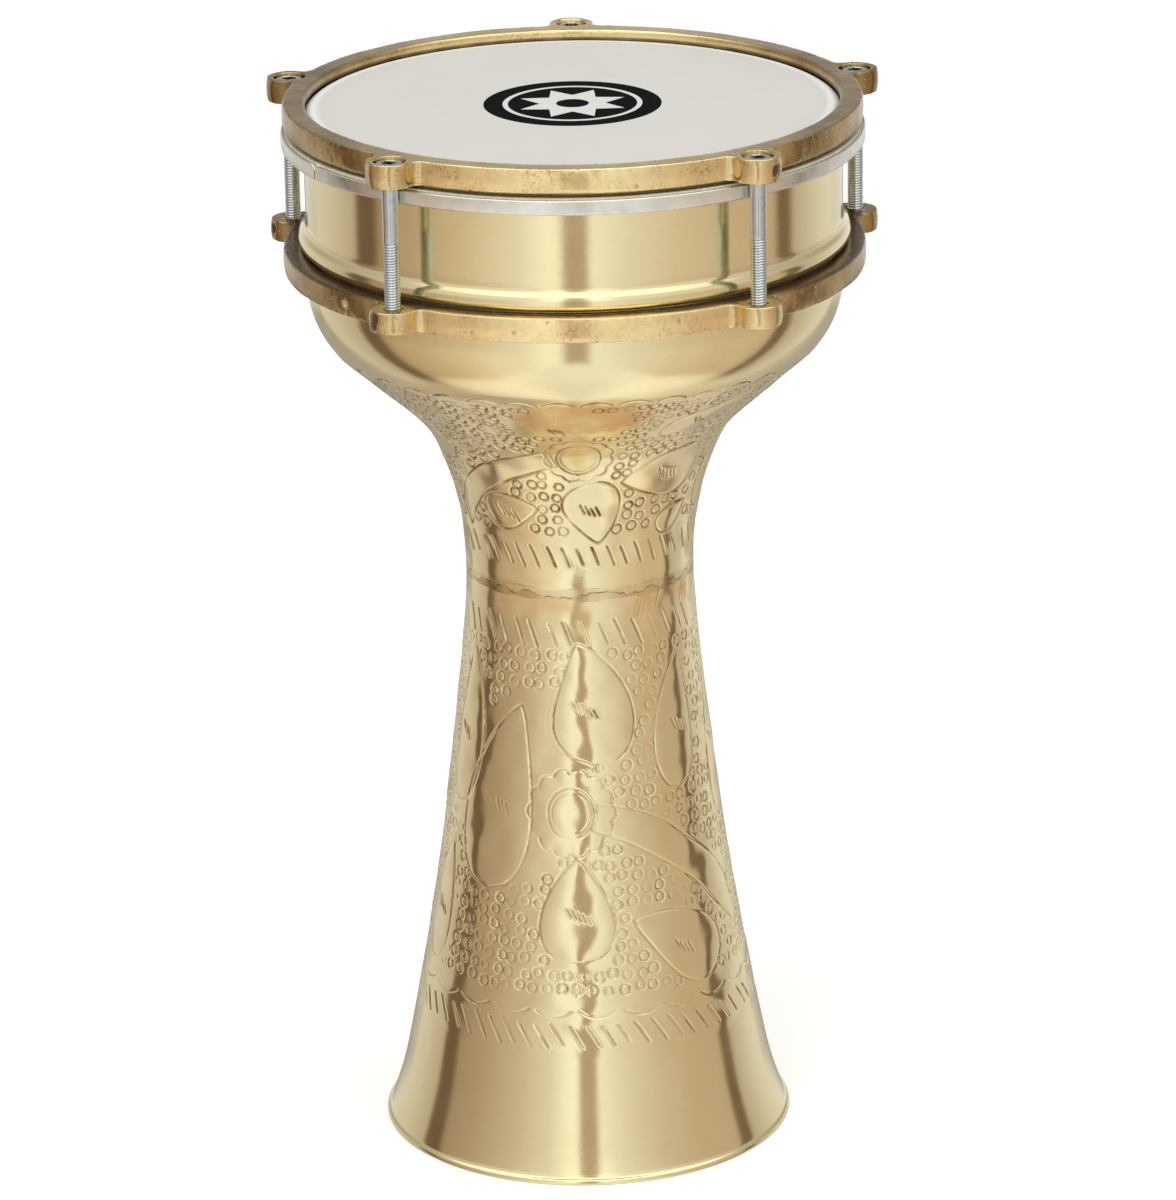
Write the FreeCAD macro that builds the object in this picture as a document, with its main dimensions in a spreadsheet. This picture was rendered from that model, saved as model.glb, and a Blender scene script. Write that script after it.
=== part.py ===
import FreeCAD, Part
import math
import os

import Sketcher
from FreeCAD import Placement, Rotation, Vector

# A goblet drum: a brass goblet shell in two soldered pieces, a film head on an aluminium hoop, and two
# cast rings with threaded tension bolts between them.
# +Z is up and the origin is the centre of the foot's rim on the floor. Lengths are millimetres and
# angles are degrees.

# ---------------------------------------------------------------- driving dimensions

DIMENSIONS = {
    # whole drum
    "drum_height": 400.0,
    # brass sheet of the shell
    "sheet_wall": 1.2,
    "rim_radius": 98.5,
    "waist_radius": 42.5,
    "waist_height": 222.5,
    # bowl, from the waist up
    "neck_flare_radius": 118.0,
    "neck_flare_angle": 23.4,
    "neck_bend_radius": 46.0,
    "neck_bend_angle": 24.8,
    "shoulder_radius": 33.0,
    # rounded bearing edge under the film
    "edge_radius": 4.0,
    "edge_lip": 2.0,
    # raised bead around the bowl
    "bead_height": 349.4,
    "bead_proud": 2.9,
    "bead_valley_radius": 3.9,
    "bead_slope": 45.0,
    "bead_underside_radius": 2.9,
    "bead_underside_slope": 75.0,
    # foot, from the waist down
    "waist_curve_radius": 184.0,
    "waist_curve_angle": 4.8,
    "horn_radius": 1540.0,
    "horn_angle": 6.7,
    "foot_radius": 76.6,
    "hem_radius": 1.3,
    "hem_flat": 0.3,
    # lap joint at the waist
    "lap_length": 8.0,
    "lap_gap": 0.05,
    "joggle_height": 2.0,
    # film head
    "film_recess": 3.4,
    "film_thickness": 0.25,
    "film_gap": 0.05,
    "collar_angle": 34.5,
    "collar_end_height": 387.0,
    # channel hoop that holds the film
    "hoop_outer_radius": 106.7,
    "hoop_inner_radius": 99.4,
    "hoop_bottom_height": 383.5,
    "hoop_depth": 6.0,
    "hoop_inner_wall": 1.0,
    "hoop_outer_wall": 1.5,
    "hoop_floor": 1.0,
    "hoop_seam_angle": 210.0,
    "hoop_seam_width": 0.3,
    # both cast rings
    "ring_height": 9.0,
    "lug_count": 5,
    "lug_radius": 8.5,
    "lug_fillet": 3.0,
    "bolt_circle_radius": 110.0,
    "bolt_clearance": 0.08,
    # tension ring on top
    "top_ring_radius": 106.0,
    "top_ring_lip_radius": 97.6,
    "top_ring_lip_thickness": 4.3,
    "top_ring_skirt_radius": 102.6,
    "pressing_foot_radius": 104.6,
    "pressing_gap": 0.05,
    "counterbore_radius": 5.75,
    "counterbore_depth": 6.4,
    # lower ring under the bead
    "lower_ring_top_height": 346.2,
    "lower_ring_radius": 107.0,
    "lower_ring_bore_radius": 98.9,
    "lower_lug_height": 8.2,
    "casting_chamfer": 1.0,
    # tension bolts
    "bolt_radius": 2.95,
    "bolt_tip_height": 338.2,
    "head_radius": 4.95,
    "head_height": 5.6,
    "head_seat_gap": 0.05,
    "bolt_chamfer": 0.5,
    "socket_across_flats": 5.0,
    "socket_depth": 3.0,
}

document = FreeCAD.newDocument("goblet_drum")
sheet = document.addObject("Spreadsheet::Sheet", "dims")
for row, (alias, value) in enumerate(DIMENSIONS.items(), start=1):
    sheet.set(f"A{row}", alias)
    sheet.set(f"B{row}", str(value))
    sheet.setAlias(f"B{row}", alias)
document.recompute()

# Heights and radii that several pieces share, as expressions on the sheet.
FILM_TOP = "(dims.drum_height - dims.film_recess)"
EDGE_TOP = f"({FILM_TOP} - dims.film_thickness - dims.film_gap)"
EDGE_START = "(dims.rim_radius - dims.edge_radius)"
HOOP_TOP = "(dims.hoop_bottom_height + dims.hoop_depth)"
TOP_RING_BOTTOM = "(dims.drum_height - dims.ring_height)"
SPIGOT_RADIUS = "(dims.waist_radius - dims.sheet_wall - dims.lap_gap)"
JOGGLE_END = "(dims.waist_height - dims.joggle_height)"
BOLT_SEAT = "(dims.drum_height - dims.counterbore_depth)"
CHANNEL_INSIDE = "(dims.hoop_inner_radius + dims.hoop_inner_wall)"
CHANNEL_OUTSIDE = "(dims.hoop_outer_radius - dims.hoop_outer_wall)"
CHANNEL_FLOOR = "(dims.hoop_bottom_height + dims.hoop_floor)"

# The first lug and bolt stand at the back, in the direction of +Y.
FIRST_LUG_ANGLE = 90
# How far a cut is drawn past the metal that it goes through.
CUT_MARGIN = 1.0


# ---------------------------------------------------------------- sketch helpers


def amount(expression):
    """The number that an expression on the sheet has now."""
    return float(sheet.evalExpression(str(expression)))


def bind(sketch, constraint, expression):
    """Add one dimension to a sketch and tie it to the sheet."""
    index = sketch.addConstraint(constraint)
    sketch.setExpression(f"Constraints[{index}]", str(expression))


def pin_point(sketch, piece, point, x=None, y=None):
    """Hold one end of a piece at the given distances from the sketch's origin."""
    for kind, axis, expression in (("DistanceX", -2, x), ("DistanceY", -1, y)):
        if expression is None:
            continue
        if str(expression) == "0":
            sketch.addConstraint(Sketcher.Constraint("PointOnObject", piece, point, axis))
        else:
            value = amount(expression)
            bind(sketch, Sketcher.Constraint(kind, -1, 1, piece, point, value), expression)


def polygon(sketch, corners):
    """A closed outline of straight sides through corners given as pairs of expressions."""
    points = [Vector(amount(x), amount(y), 0) for x, y in corners]
    count = len(points)
    for index in range(count):
        sketch.addGeometry(Part.LineSegment(points[index], points[(index + 1) % count]), False)
    for index in range(count):
        sketch.addConstraint(Sketcher.Constraint("Coincident", index, 2, (index + 1) % count, 1))
    for index, (x, y) in enumerate(corners):
        pin_point(sketch, index, 1, x, y)


def circle(sketch, x, y, radius):
    """A circle whose centre and radius are expressions."""
    centre = Vector(amount(x), amount(y), 0)
    index = sketch.addGeometry(Part.Circle(centre, Vector(0, 0, 1), amount(radius)), False)
    pin_point(sketch, index, 3, x, y)
    bind(sketch, Sketcher.Constraint("Radius", index, amount(radius)), radius)


class Chain:
    """An open outline drawn piece after piece, each tangent to the last unless it starts at a corner.

    In a half section x is the distance from the drum's axis and y is the height. The heading is an angle
    from the outward direction, so -90 is straight down.
    """

    def __init__(self, sketch, x, y, heading):
        self.sketch = sketch
        self.here = Vector(amount(x), amount(y), 0)
        self.start = (x, y)
        self.heading = math.radians(heading)
        self.last = None

    def join(self, piece, first, last, smooth):
        """Tie a new piece to the end of the one before, or to the chain's start."""
        if self.last is None:
            pin_point(self.sketch, piece, first, *self.start)
        else:
            kind = "Tangent" if smooth else "Coincident"
            self.sketch.addConstraint(Sketcher.Constraint(kind, *self.last, piece, first))
        self.last = (piece, last)

    def line(self, length, fixed=True, corner=False, end_x=None, end_y=None):
        """A straight piece. If its length isn't fixed, the rest of the chain settles it."""
        guess = amount(length)
        if corner:
            end = Vector(amount(end_x), amount(end_y), 0)
        else:
            end = self.here + Vector(math.cos(self.heading), math.sin(self.heading), 0) * guess
        piece = self.sketch.addGeometry(Part.LineSegment(self.here, end), False)
        self.join(piece, 1, 2, not corner)
        if fixed:
            bind(self.sketch, Sketcher.Constraint("Distance", piece, guess), length)
        pin_point(self.sketch, piece, 2, end_x, end_y)
        self.here = end
        return piece

    def arc(self, radius, span, side, fixed_radius=True, fixed_span=True, corner=False,
            end_x=None, end_y=None):
        """A round piece that turns left (side 1) or right (side -1) of the heading."""
        size, angle = amount(radius), math.radians(amount(span))
        left = Vector(-math.sin(self.heading), math.cos(self.heading), 0)
        centre = self.here + left * size * side
        outward = math.atan2(self.here.y - centre.y, self.here.x - centre.x)
        ends = (outward, outward + angle) if side > 0 else (outward - angle, outward)
        shape = Part.ArcOfCircle(Part.Circle(centre, Vector(0, 0, 1), size), *ends)
        piece = self.sketch.addGeometry(shape, False)
        first, last = (1, 2) if side > 0 else (2, 1)
        self.join(piece, first, last, not corner)
        if fixed_radius:
            bind(self.sketch, Sketcher.Constraint("Radius", piece, size), radius)
        if fixed_span:
            bind(self.sketch, Sketcher.Constraint("Angle", piece, angle), f"({span}) * 1 deg")
        pin_point(self.sketch, piece, last, end_x, end_y)
        self.heading += side * angle
        turned = outward + side * angle
        self.here = centre + Vector(math.cos(turned), math.sin(turned), 0) * size
        return piece


def upright_sketch(name):
    """A sketch of a half section: its x is the radius and its y is the height."""
    sketch = document.addObject("Sketcher::SketchObject", name)
    sketch.Placement = Placement(Vector(0, 0, 0), Rotation(Vector(1, 0, 0), 90))
    return sketch


def body_sketch(body, name, role, height=None):
    """A sketch on one of a body's own origin planes, lifted to a height where one is given."""
    sketch = body.newObject("Sketcher::SketchObject", name)
    plane = next(item for item in body.Origin.OriginFeatures if item.Role == role)
    sketch.AttachmentSupport = (plane, [""])
    sketch.MapMode = "FlatFace"
    if height is not None:
        sketch.setExpression("AttachmentOffset.Base.z", height)
    return sketch


# ---------------------------------------------------------------- feature helpers

finished = []


def finish(piece, label):
    """Name a finished piece after the node that it makes."""
    piece.Label = label
    finished.append(piece)
    return piece


def new_body(name):
    return document.addObject("PartDesign::Body", name)


def revolve(body, sketch, name, kind="PartDesign::Revolution"):
    """Turn a half section all the way round the drum's axis, to add or to cut."""
    feature = body.newObject(kind, name)
    feature.Profile = sketch
    feature.ReferenceAxis = (sketch, ["V_Axis"])
    feature.Angle = 360.0
    document.recompute()
    return feature


def pad(body, sketch, name, length):
    feature = body.newObject("PartDesign::Pad", name)
    feature.Profile = sketch
    feature.setExpression("Length", length)
    document.recompute()
    return feature


def pocket(body, sketch, name, depth):
    """Cut straight down from the sketch, and make sure that it really removes metal."""
    before = body.Shape.Volume
    feature = body.newObject("PartDesign::Pocket", name)
    feature.Profile = sketch
    feature.setExpression("Length", depth)
    document.recompute()
    assert body.Shape.Volume < before, f"{name} cuts nothing"
    return feature


def around(body, features, sketch, name):
    """Repeat features at every lug."""
    pattern = body.newObject("PartDesign::PolarPattern", name)
    pattern.Originals = features
    pattern.Axis = (sketch, ["N_Axis"])
    pattern.Angle = 360.0
    pattern.setExpression("Occurrences", "dims.lug_count")
    body.Tip = pattern
    document.recompute()
    return pattern


def sheet_metal(name, sketch, wall):
    """A turned sheet: the outer line of its half section, given a wall inwards and revolved."""
    section = document.addObject("Part::Offset2D", f"{name}_section")
    section.Source = sketch
    section.Mode = "Skin"
    section.Join = "Arc"
    section.Fill = True
    section.setExpression("Value", f"-{wall}")
    turned = document.addObject("Part::Revolution", name)
    turned.Source = section
    turned.Base = Vector(0, 0, 0)
    turned.Axis = Vector(0, 0, 1)
    turned.Angle = 360.0
    document.recompute()
    return turned


# ---------------------------------------------------------------- shell


def make_bowl_shell():
    """Bearing edge, cylinder, bead, bowl and the upper half of the neck, spun from one sheet."""
    sketch = upright_sketch("bowl_outline")
    chain = Chain(sketch, f"{EDGE_START} - dims.edge_lip", EDGE_TOP, 0)
    top = chain.line("dims.edge_lip")
    sketch.addConstraint(Sketcher.Constraint("Horizontal", top))
    chain.arc("dims.edge_radius", "90", -1)
    chain.line(f"{EDGE_TOP} - dims.bead_height - 3 * dims.bead_proud", fixed=False)
    chain.arc("dims.bead_valley_radius", "dims.bead_slope", 1)
    chain.arc("2 * dims.bead_proud", "dims.bead_slope", -1, fixed_radius=False,
              end_x="dims.rim_radius + dims.bead_proud", end_y="dims.bead_height")
    chain.arc("dims.bead_underside_radius", "dims.bead_underside_slope", -1)
    chain.arc("dims.bead_proud / 3", "dims.bead_underside_slope", 1, fixed_radius=False,
              end_x="dims.rim_radius")
    chain.line("dims.shoulder_radius / 2", fixed=False)
    chain.arc("dims.shoulder_radius", "dims.neck_flare_angle + dims.neck_bend_angle", -1)
    chain.line("(dims.rim_radius - dims.waist_radius) / 2", fixed=False)
    chain.arc("dims.neck_bend_radius", "dims.neck_bend_angle", 1)
    chain.arc("dims.neck_flare_radius", "dims.neck_flare_angle", 1,
              end_x="dims.waist_radius", end_y="dims.waist_height")
    finish(sheet_metal("bowl_shell", sketch, "dims.sheet_wall"), "bowl_shell")


def make_foot_shell():
    """Spigot, lower neck, horn and hemmed foot, rolled from a second sheet."""
    sketch = upright_sketch("foot_outline")
    chain = Chain(sketch, SPIGOT_RADIUS, "dims.waist_height + dims.lap_length", -90)
    spigot = chain.line("dims.lap_length")
    sketch.addConstraint(Sketcher.Constraint("Vertical", spigot))
    chain.line("dims.joggle_height", fixed=False, corner=True, end_x="dims.waist_radius", end_y=JOGGLE_END)
    curve = chain.arc("dims.waist_curve_radius", "dims.waist_curve_angle", 1, corner=True)
    sketch.addConstraint(Sketcher.Constraint("Horizontal", curve, 1, curve, 3))
    chain.arc("dims.horn_radius", "dims.horn_angle", 1)
    chain.arc("2 * dims.foot_radius", "dims.waist_curve_angle + dims.horn_angle", 1,
              fixed_radius=False, fixed_span=False,
              end_x="dims.foot_radius", end_y="dims.hem_radius - dims.hem_flat")
    horn = sheet_metal("horn", sketch, "dims.sheet_wall")

    # The hem is a round roll, worn flat where the drum stands on it.
    hem_sketch = upright_sketch("hem_outline")
    centre_x = "(dims.foot_radius - dims.sheet_wall / 2)"
    centre_y = "(dims.hem_radius - dims.hem_flat)"
    half_flat = f"sqrt(dims.hem_radius ^ 2 - {centre_y} ^ 2)"
    centre = Vector(amount(centre_x), amount(centre_y), 0)
    left = Vector(centre.x - amount(half_flat), 0, 0)
    right = Vector(centre.x + amount(half_flat), 0, 0)
    top = Vector(centre.x, centre.y + amount("dims.hem_radius"), 0)
    roll = hem_sketch.addGeometry(Part.Arc(right, top, left), False)
    flat = hem_sketch.addGeometry(Part.LineSegment(left, right), False)
    hem_sketch.addConstraint(Sketcher.Constraint("Coincident", roll, 2, flat, 1))
    hem_sketch.addConstraint(Sketcher.Constraint("Coincident", roll, 1, flat, 2))
    pin_point(hem_sketch, roll, 3, centre_x, centre_y)
    bind(hem_sketch, Sketcher.Constraint("Radius", roll, amount("dims.hem_radius")), "dims.hem_radius")
    pin_point(hem_sketch, flat, 1, y="0")
    pin_point(hem_sketch, flat, 2, y="0")
    hem = document.addObject("Part::Revolution", "hem")
    hem.Source = hem_sketch
    hem.Base = Vector(0, 0, 0)
    hem.Axis = Vector(0, 0, 1)
    hem.Angle = 360.0
    hem.Solid = True

    foot = document.addObject("Part::Fuse", "foot_shell")
    foot.Base = horn
    foot.Tool = hem
    document.recompute()
    finish(foot, "foot_shell")


def make_waist_braze():
    """The ring of brazing metal that fills the groove between the two sheets."""
    body = new_body("waist_braze")
    sketch = body_sketch(body, "braze_section", "XZ_Plane")
    polygon(sketch, [
        (SPIGOT_RADIUS, "dims.waist_height"),
        ("dims.waist_radius", JOGGLE_END),
        ("dims.waist_radius", "dims.waist_height"),
    ])
    revolve(body, sketch, "braze_ring")
    finish(body, "waist_braze")


# ---------------------------------------------------------------- head


def make_drumhead():
    """A film that lies flat on the bearing edge and runs down its collar into the hoop."""
    sketch = upright_sketch("film_outline")
    chain = Chain(sketch, "0", FILM_TOP, 0)
    flat = chain.line(EDGE_START)
    sketch.addConstraint(Sketcher.Constraint("Horizontal", flat))
    chain.arc("dims.edge_radius + dims.film_gap + dims.film_thickness", "90 - dims.collar_angle", -1)
    chain.line("2 * dims.hoop_depth", fixed=False, end_y="dims.collar_end_height")
    finish(sheet_metal("drumhead", sketch, "dims.film_thickness"), "drumhead")


def make_flesh_hoop():
    """A channel open at its top, bent to a circle, with a narrow seam where its ends meet."""
    body = new_body("flesh_hoop")
    sketch = body_sketch(body, "hoop_section", "XZ_Plane")
    polygon(sketch, [
        ("dims.hoop_inner_radius", "dims.hoop_bottom_height"),
        ("dims.hoop_outer_radius", "dims.hoop_bottom_height"),
        ("dims.hoop_outer_radius", HOOP_TOP),
        (CHANNEL_OUTSIDE, HOOP_TOP),
        (CHANNEL_OUTSIDE, CHANNEL_FLOOR),
        (CHANNEL_INSIDE, CHANNEL_FLOOR),
        (CHANNEL_INSIDE, HOOP_TOP),
        ("dims.hoop_inner_radius", HOOP_TOP),
    ])
    revolve(body, sketch, "channel")
    seam = body_sketch(body, "seam_outline", "XY_Plane", HOOP_TOP)
    along = ("cos(dims.hoop_seam_angle)", "sin(dims.hoop_seam_angle)")
    near = f"(dims.hoop_inner_radius - {CUT_MARGIN})"
    far = f"(dims.hoop_outer_radius + {CUT_MARGIN})"
    corners = []
    for reach, side in ((near, "-1"), (far, "-1"), (far, "1"), (near, "1")):
        across = f"{side} * dims.hoop_seam_width / 2"
        corners.append((
            f"{reach} * {along[0]} - {across} * {along[1]}",
            f"{reach} * {along[1]} + {across} * {along[0]}",
        ))
    polygon(seam, corners)
    pocket(body, seam, "seam", "dims.hoop_depth")
    finish(body, "flesh_hoop")


def make_hoop_resin():
    """The set resin that fills the channel around the film's edge."""
    body = new_body("hoop_resin")
    sketch = body_sketch(body, "resin_section", "XZ_Plane")
    polygon(sketch, [
        (CHANNEL_INSIDE, CHANNEL_FLOOR),
        (CHANNEL_OUTSIDE, CHANNEL_FLOOR),
        (CHANNEL_OUTSIDE, HOOP_TOP),
        (CHANNEL_INSIDE, HOOP_TOP),
    ])
    revolve(body, sketch, "resin_fill")
    finish(body, "hoop_resin")


# ---------------------------------------------------------------- cast rings


def lug_corners(shape, ring_radius):
    """The upright edges where the round lugs meet the ring's outside."""
    names = []
    wanted = {round(amount("dims.lug_radius"), 3), round(amount(ring_radius), 3)}
    for number, edge in enumerate(shape.Edges, start=1):
        faces = shape.ancestorsOfType(edge, Part.Face)
        radii = {round(face.Surface.Radius, 3) for face in faces if hasattr(face.Surface, "Radius")}
        if edge.Curve.TypeId == "Part::GeomLine" and radii == wanted:
            names.append(f"Edge{number}")
    return names


def add_lugs(body, top_height, lug_height, ring_radius, cuts):
    """Round lugs on the bolt circle with the holes that go down through them, the first at the back."""
    outline = body_sketch(body, "lug_outline", "XY_Plane", f"{top_height} - {lug_height}")
    circle(outline, "0", "dims.bolt_circle_radius", "dims.lug_radius")
    features = [pad(body, outline, "lug", lug_height)]
    for name, radius, depth in cuts:
        hole = body_sketch(body, f"{name}_outline", "XY_Plane", top_height)
        circle(hole, "0", "dims.bolt_circle_radius", radius)
        features.append(pocket(body, hole, name, depth))
    lugs = around(body, features, outline, "lugs_around")
    fillet = body.newObject("PartDesign::Fillet", "lug_blend")
    fillet.Base = (lugs, lug_corners(lugs.Shape, ring_radius))
    fillet.setExpression("Radius", "dims.lug_fillet")
    body.Tip = fillet
    document.recompute()


def make_top_ring():
    """The tension ring: a lip over the bearing edge and a skirt whose foot presses on the hoop."""
    body = new_body("top_ring")
    band = body_sketch(body, "band_section", "XZ_Plane")
    lip_bottom = "dims.drum_height - dims.top_ring_lip_thickness"
    soft = "dims.casting_chamfer / 2"
    polygon(band, [
        ("dims.top_ring_lip_radius", lip_bottom),
        ("dims.top_ring_skirt_radius", TOP_RING_BOTTOM),
        ("dims.top_ring_radius", TOP_RING_BOTTOM),
        ("dims.top_ring_radius", "dims.drum_height"),
        (f"dims.top_ring_lip_radius + {soft}", "dims.drum_height"),
        ("dims.top_ring_lip_radius", f"dims.drum_height - {soft}"),
    ])
    revolve(body, band, "band")
    cuts = [
        ("counterbore", "dims.counterbore_radius", "dims.counterbore_depth"),
        ("bolt_hole", "dims.bolt_radius + dims.bolt_clearance", "dims.ring_height"),
    ]
    add_lugs(body, "dims.drum_height", "dims.ring_height", "dims.top_ring_radius", cuts)

    before = body.Shape.Volume
    relief = body_sketch(body, "relief_section", "XZ_Plane")
    below = f"{TOP_RING_BOTTOM} - {CUT_MARGIN}"
    polygon(relief, [
        (EDGE_START, below),
        ("dims.top_ring_skirt_radius", below),
        ("dims.top_ring_skirt_radius", lip_bottom),
        (EDGE_START, lip_bottom),
    ])
    revolve(body, relief, "relief", "PartDesign::Groove")
    assert body.Shape.Volume < before, "the relief cuts nothing"

    foot = body_sketch(body, "pressing_foot_section", "XZ_Plane")
    foot_bottom = f"{HOOP_TOP} + dims.pressing_gap"
    polygon(foot, [
        ("dims.top_ring_skirt_radius", foot_bottom),
        ("dims.pressing_foot_radius", foot_bottom),
        ("dims.pressing_foot_radius", TOP_RING_BOTTOM),
        ("dims.top_ring_skirt_radius", TOP_RING_BOTTOM),
    ])
    revolve(body, foot, "pressing_foot")
    finish(body, "top_ring")


def make_lower_ring():
    """The plain ring with threaded lugs that bears up against the underside of the bead."""
    body = new_body("lower_ring")
    band = body_sketch(body, "band_section", "XZ_Plane")
    top = "dims.lower_ring_top_height"
    bottom = f"{top} - dims.ring_height"
    polygon(band, [
        ("dims.lower_ring_bore_radius", bottom),
        ("dims.lower_ring_radius", bottom),
        ("dims.lower_ring_radius", top),
        ("dims.lower_ring_bore_radius + dims.casting_chamfer", top),
        ("dims.lower_ring_bore_radius", f"{top} - dims.casting_chamfer"),
    ])
    revolve(body, band, "band")
    cuts = [("thread_hole", "dims.bolt_radius + dims.bolt_clearance", "dims.ring_height")]
    add_lugs(body, top, "dims.lower_lug_height", "dims.lower_ring_radius", cuts)
    finish(body, "lower_ring")


# ---------------------------------------------------------------- tension bolts


def make_tension_bolt(number):
    """A socket-head bolt, drawn about its own axis with the head's seat at height zero."""
    body = new_body(f"tension_bolt_{number}")
    section = body_sketch(body, "bolt_section", "XZ_Plane")
    tip = f"dims.bolt_tip_height - {BOLT_SEAT} - dims.head_seat_gap"
    polygon(section, [
        ("0", tip),
        ("dims.bolt_radius - dims.bolt_chamfer", tip),
        ("dims.bolt_radius", f"{tip} + dims.bolt_chamfer"),
        ("dims.bolt_radius", "0"),
        ("dims.head_radius", "0"),
        ("dims.head_radius", "dims.head_height - dims.bolt_chamfer"),
        ("dims.head_radius - dims.bolt_chamfer", "dims.head_height"),
        ("0", "dims.head_height"),
    ])
    revolve(body, section, "turned_bolt")
    hexagon = body_sketch(body, "socket_outline", "XY_Plane", "dims.head_height")
    half_flats = "dims.socket_across_flats / 2"
    corner = f"{half_flats} / cos(30)"
    side = f"{half_flats} * tan(30)"
    polygon(hexagon, [
        (half_flats, side),
        ("0", corner),
        (f"-{half_flats}", side),
        (f"-{half_flats}", f"-{side}"),
        ("0", f"-{corner}"),
        (half_flats, f"-{side}"),
    ])
    pocket(body, hexagon, "socket", "dims.socket_depth")
    angle = f"({FIRST_LUG_ANGLE} + 360 / dims.lug_count * {number - 1})"
    body.setExpression("Placement.Base.x", f"dims.bolt_circle_radius * cos({angle})")
    body.setExpression("Placement.Base.y", f"dims.bolt_circle_radius * sin({angle})")
    body.setExpression("Placement.Base.z", f"{BOLT_SEAT} + dims.head_seat_gap")
    finish(body, f"tension_bolt_{number}")


# ---------------------------------------------------------------- build, check and write

make_bowl_shell()
make_foot_shell()
make_waist_braze()
make_drumhead()
make_flesh_hoop()
make_hoop_resin()
make_top_ring()
make_lower_ring()
for bolt_number in range(1, DIMENSIONS["lug_count"] + 1):
    make_tension_bolt(bolt_number)
document.recompute()

for item in document.Objects:
    assert not {"Invalid", "Error"} & set(item.State), f"{item.Label} failed: {item.State}"

os.makedirs("parts", exist_ok=True)
for piece in finished:
    shape = piece.Shape
    assert not shape.isNull() and shape.isValid(), f"{piece.Label} has no valid shape"
    assert len(shape.Solids) == 1, f"{piece.Label} is {len(shape.Solids)} solids"
    shape.exportStep(f"parts/{piece.Label}.step")
    box = shape.optimalBoundingBox()
    print(f"{piece.Label:16s} {shape.Volume:10.1f} mm3  z {box.ZMin:7.2f} to {box.ZMax:7.2f}"
          f"  x {box.XMin:7.2f} to {box.XMax:7.2f}")
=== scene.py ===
"""A goblet hand drum: chased brass shell, cast rings, tension bolts and a film head."""

import math

import bpy
import numpy as np
from mathutils import Matrix, Vector, noise


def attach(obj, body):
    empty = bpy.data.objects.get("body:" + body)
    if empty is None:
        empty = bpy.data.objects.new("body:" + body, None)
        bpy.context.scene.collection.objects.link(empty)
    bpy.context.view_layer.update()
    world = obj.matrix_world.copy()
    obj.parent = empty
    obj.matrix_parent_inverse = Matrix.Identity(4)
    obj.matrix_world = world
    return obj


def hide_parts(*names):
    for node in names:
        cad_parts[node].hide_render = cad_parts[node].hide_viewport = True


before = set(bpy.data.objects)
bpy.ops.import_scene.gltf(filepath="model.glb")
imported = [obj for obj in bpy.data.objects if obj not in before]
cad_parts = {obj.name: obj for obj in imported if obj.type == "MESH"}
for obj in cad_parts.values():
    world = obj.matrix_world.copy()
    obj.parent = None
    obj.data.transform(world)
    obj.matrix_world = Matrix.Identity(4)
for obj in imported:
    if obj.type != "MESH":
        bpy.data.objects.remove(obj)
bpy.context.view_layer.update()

MM = 0.001
DRAW = np.random.default_rng(7)

# ---- sizes, in mm and degrees; an arc is its radius and its angle

SHEET = 1.2
RIM_RADIUS = 98.5
WAIST_RADIUS = 42.5
WAIST_HEIGHT = 222.5
JOGGLE_HEIGHT = 220.5
SEAM_HEIGHT = 221.4
BRAZE_REACH = 1.5
BRAZE_INSIDE = 42.0
SPIGOT_TOP = 230.5
SPIGOT_RADIUS = 41.25
RIM_LIP_RADIUS = 92.5
RIM_HEIGHT = 396.3
BEAD_HEIGHT = 349.4
BEAD_PROUD = 2.9
BEAD_VALLEY = 3.9
BEAD_UNDERSIDE = 2.9
BEAD_SLOPE = 48.0
BEAD_HOOK = 75.0
BEAD_CREASE = 354.6
SHOULDER_RADIUS = 33.0
NECK_BEND = 46.0
NECK_FLARE = 118.0
FLARE_ANGLE = 23.4
CONE_ANGLE = 48.2
HORN_TOP_ARC = (184, 4.8)
HORN_MIDDLE_ARC = (1540, 6.7)
FOOT_RADIUS = 76.6
HEM_RADIUS = 1.3
HEM_CENTRE = (76.0, 1.0)

RING_HALF_HEIGHT = 4.5
TOP_RING_MIDDLE = 395.5
LOWER_RING_MIDDLE = 341.7
LOWER_RING_TOP = LOWER_RING_MIDDLE + RING_HALF_HEIGHT
LUG_RADIUS = 8.3
BOLT_CIRCLE = 110.0
BOLT_RADIUS = 2.95
BOLT_TIP = 338.2
BOLT_SEAT = 393.65
BOLT_SHANK_START = 370.7
THREAD_PITCH = 1.0
THREAD_DEPTH = 0.42
HEAD_RADIUS = 4.95
HEAD_TOP = 399.25
SOCKET_FLATS = 5.0
SOCKET_DEPTH = 3.0
LUG_ANGLES = [90 + 72 * k for k in range(5)]

HOOP_OUTER = 106.7
HOOP_INNER = 99.4
HOOP_BOTTOM = 383.5
HOOP_DEPTH = 6.0
HOOP_WALL = 1.5
HOOP_SEAM = 210.0

BOWL_WORK_TOP = 312.5
FOOT_WORK_END = 46.0
WORK_STEP = 0.45
BOWL_COLUMNS = 880
FOOT_COLUMNS = 760

FILM_TOP = 396.6
FILM_THICKNESS = 0.25
FILM_BEARING = 94.5
RIM_BEND = 4.3
FILM_EDGE = (103.1, 387.2)
PRINT_RADIUS = 32.5


# ---- outlines of the turned sheet


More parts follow.
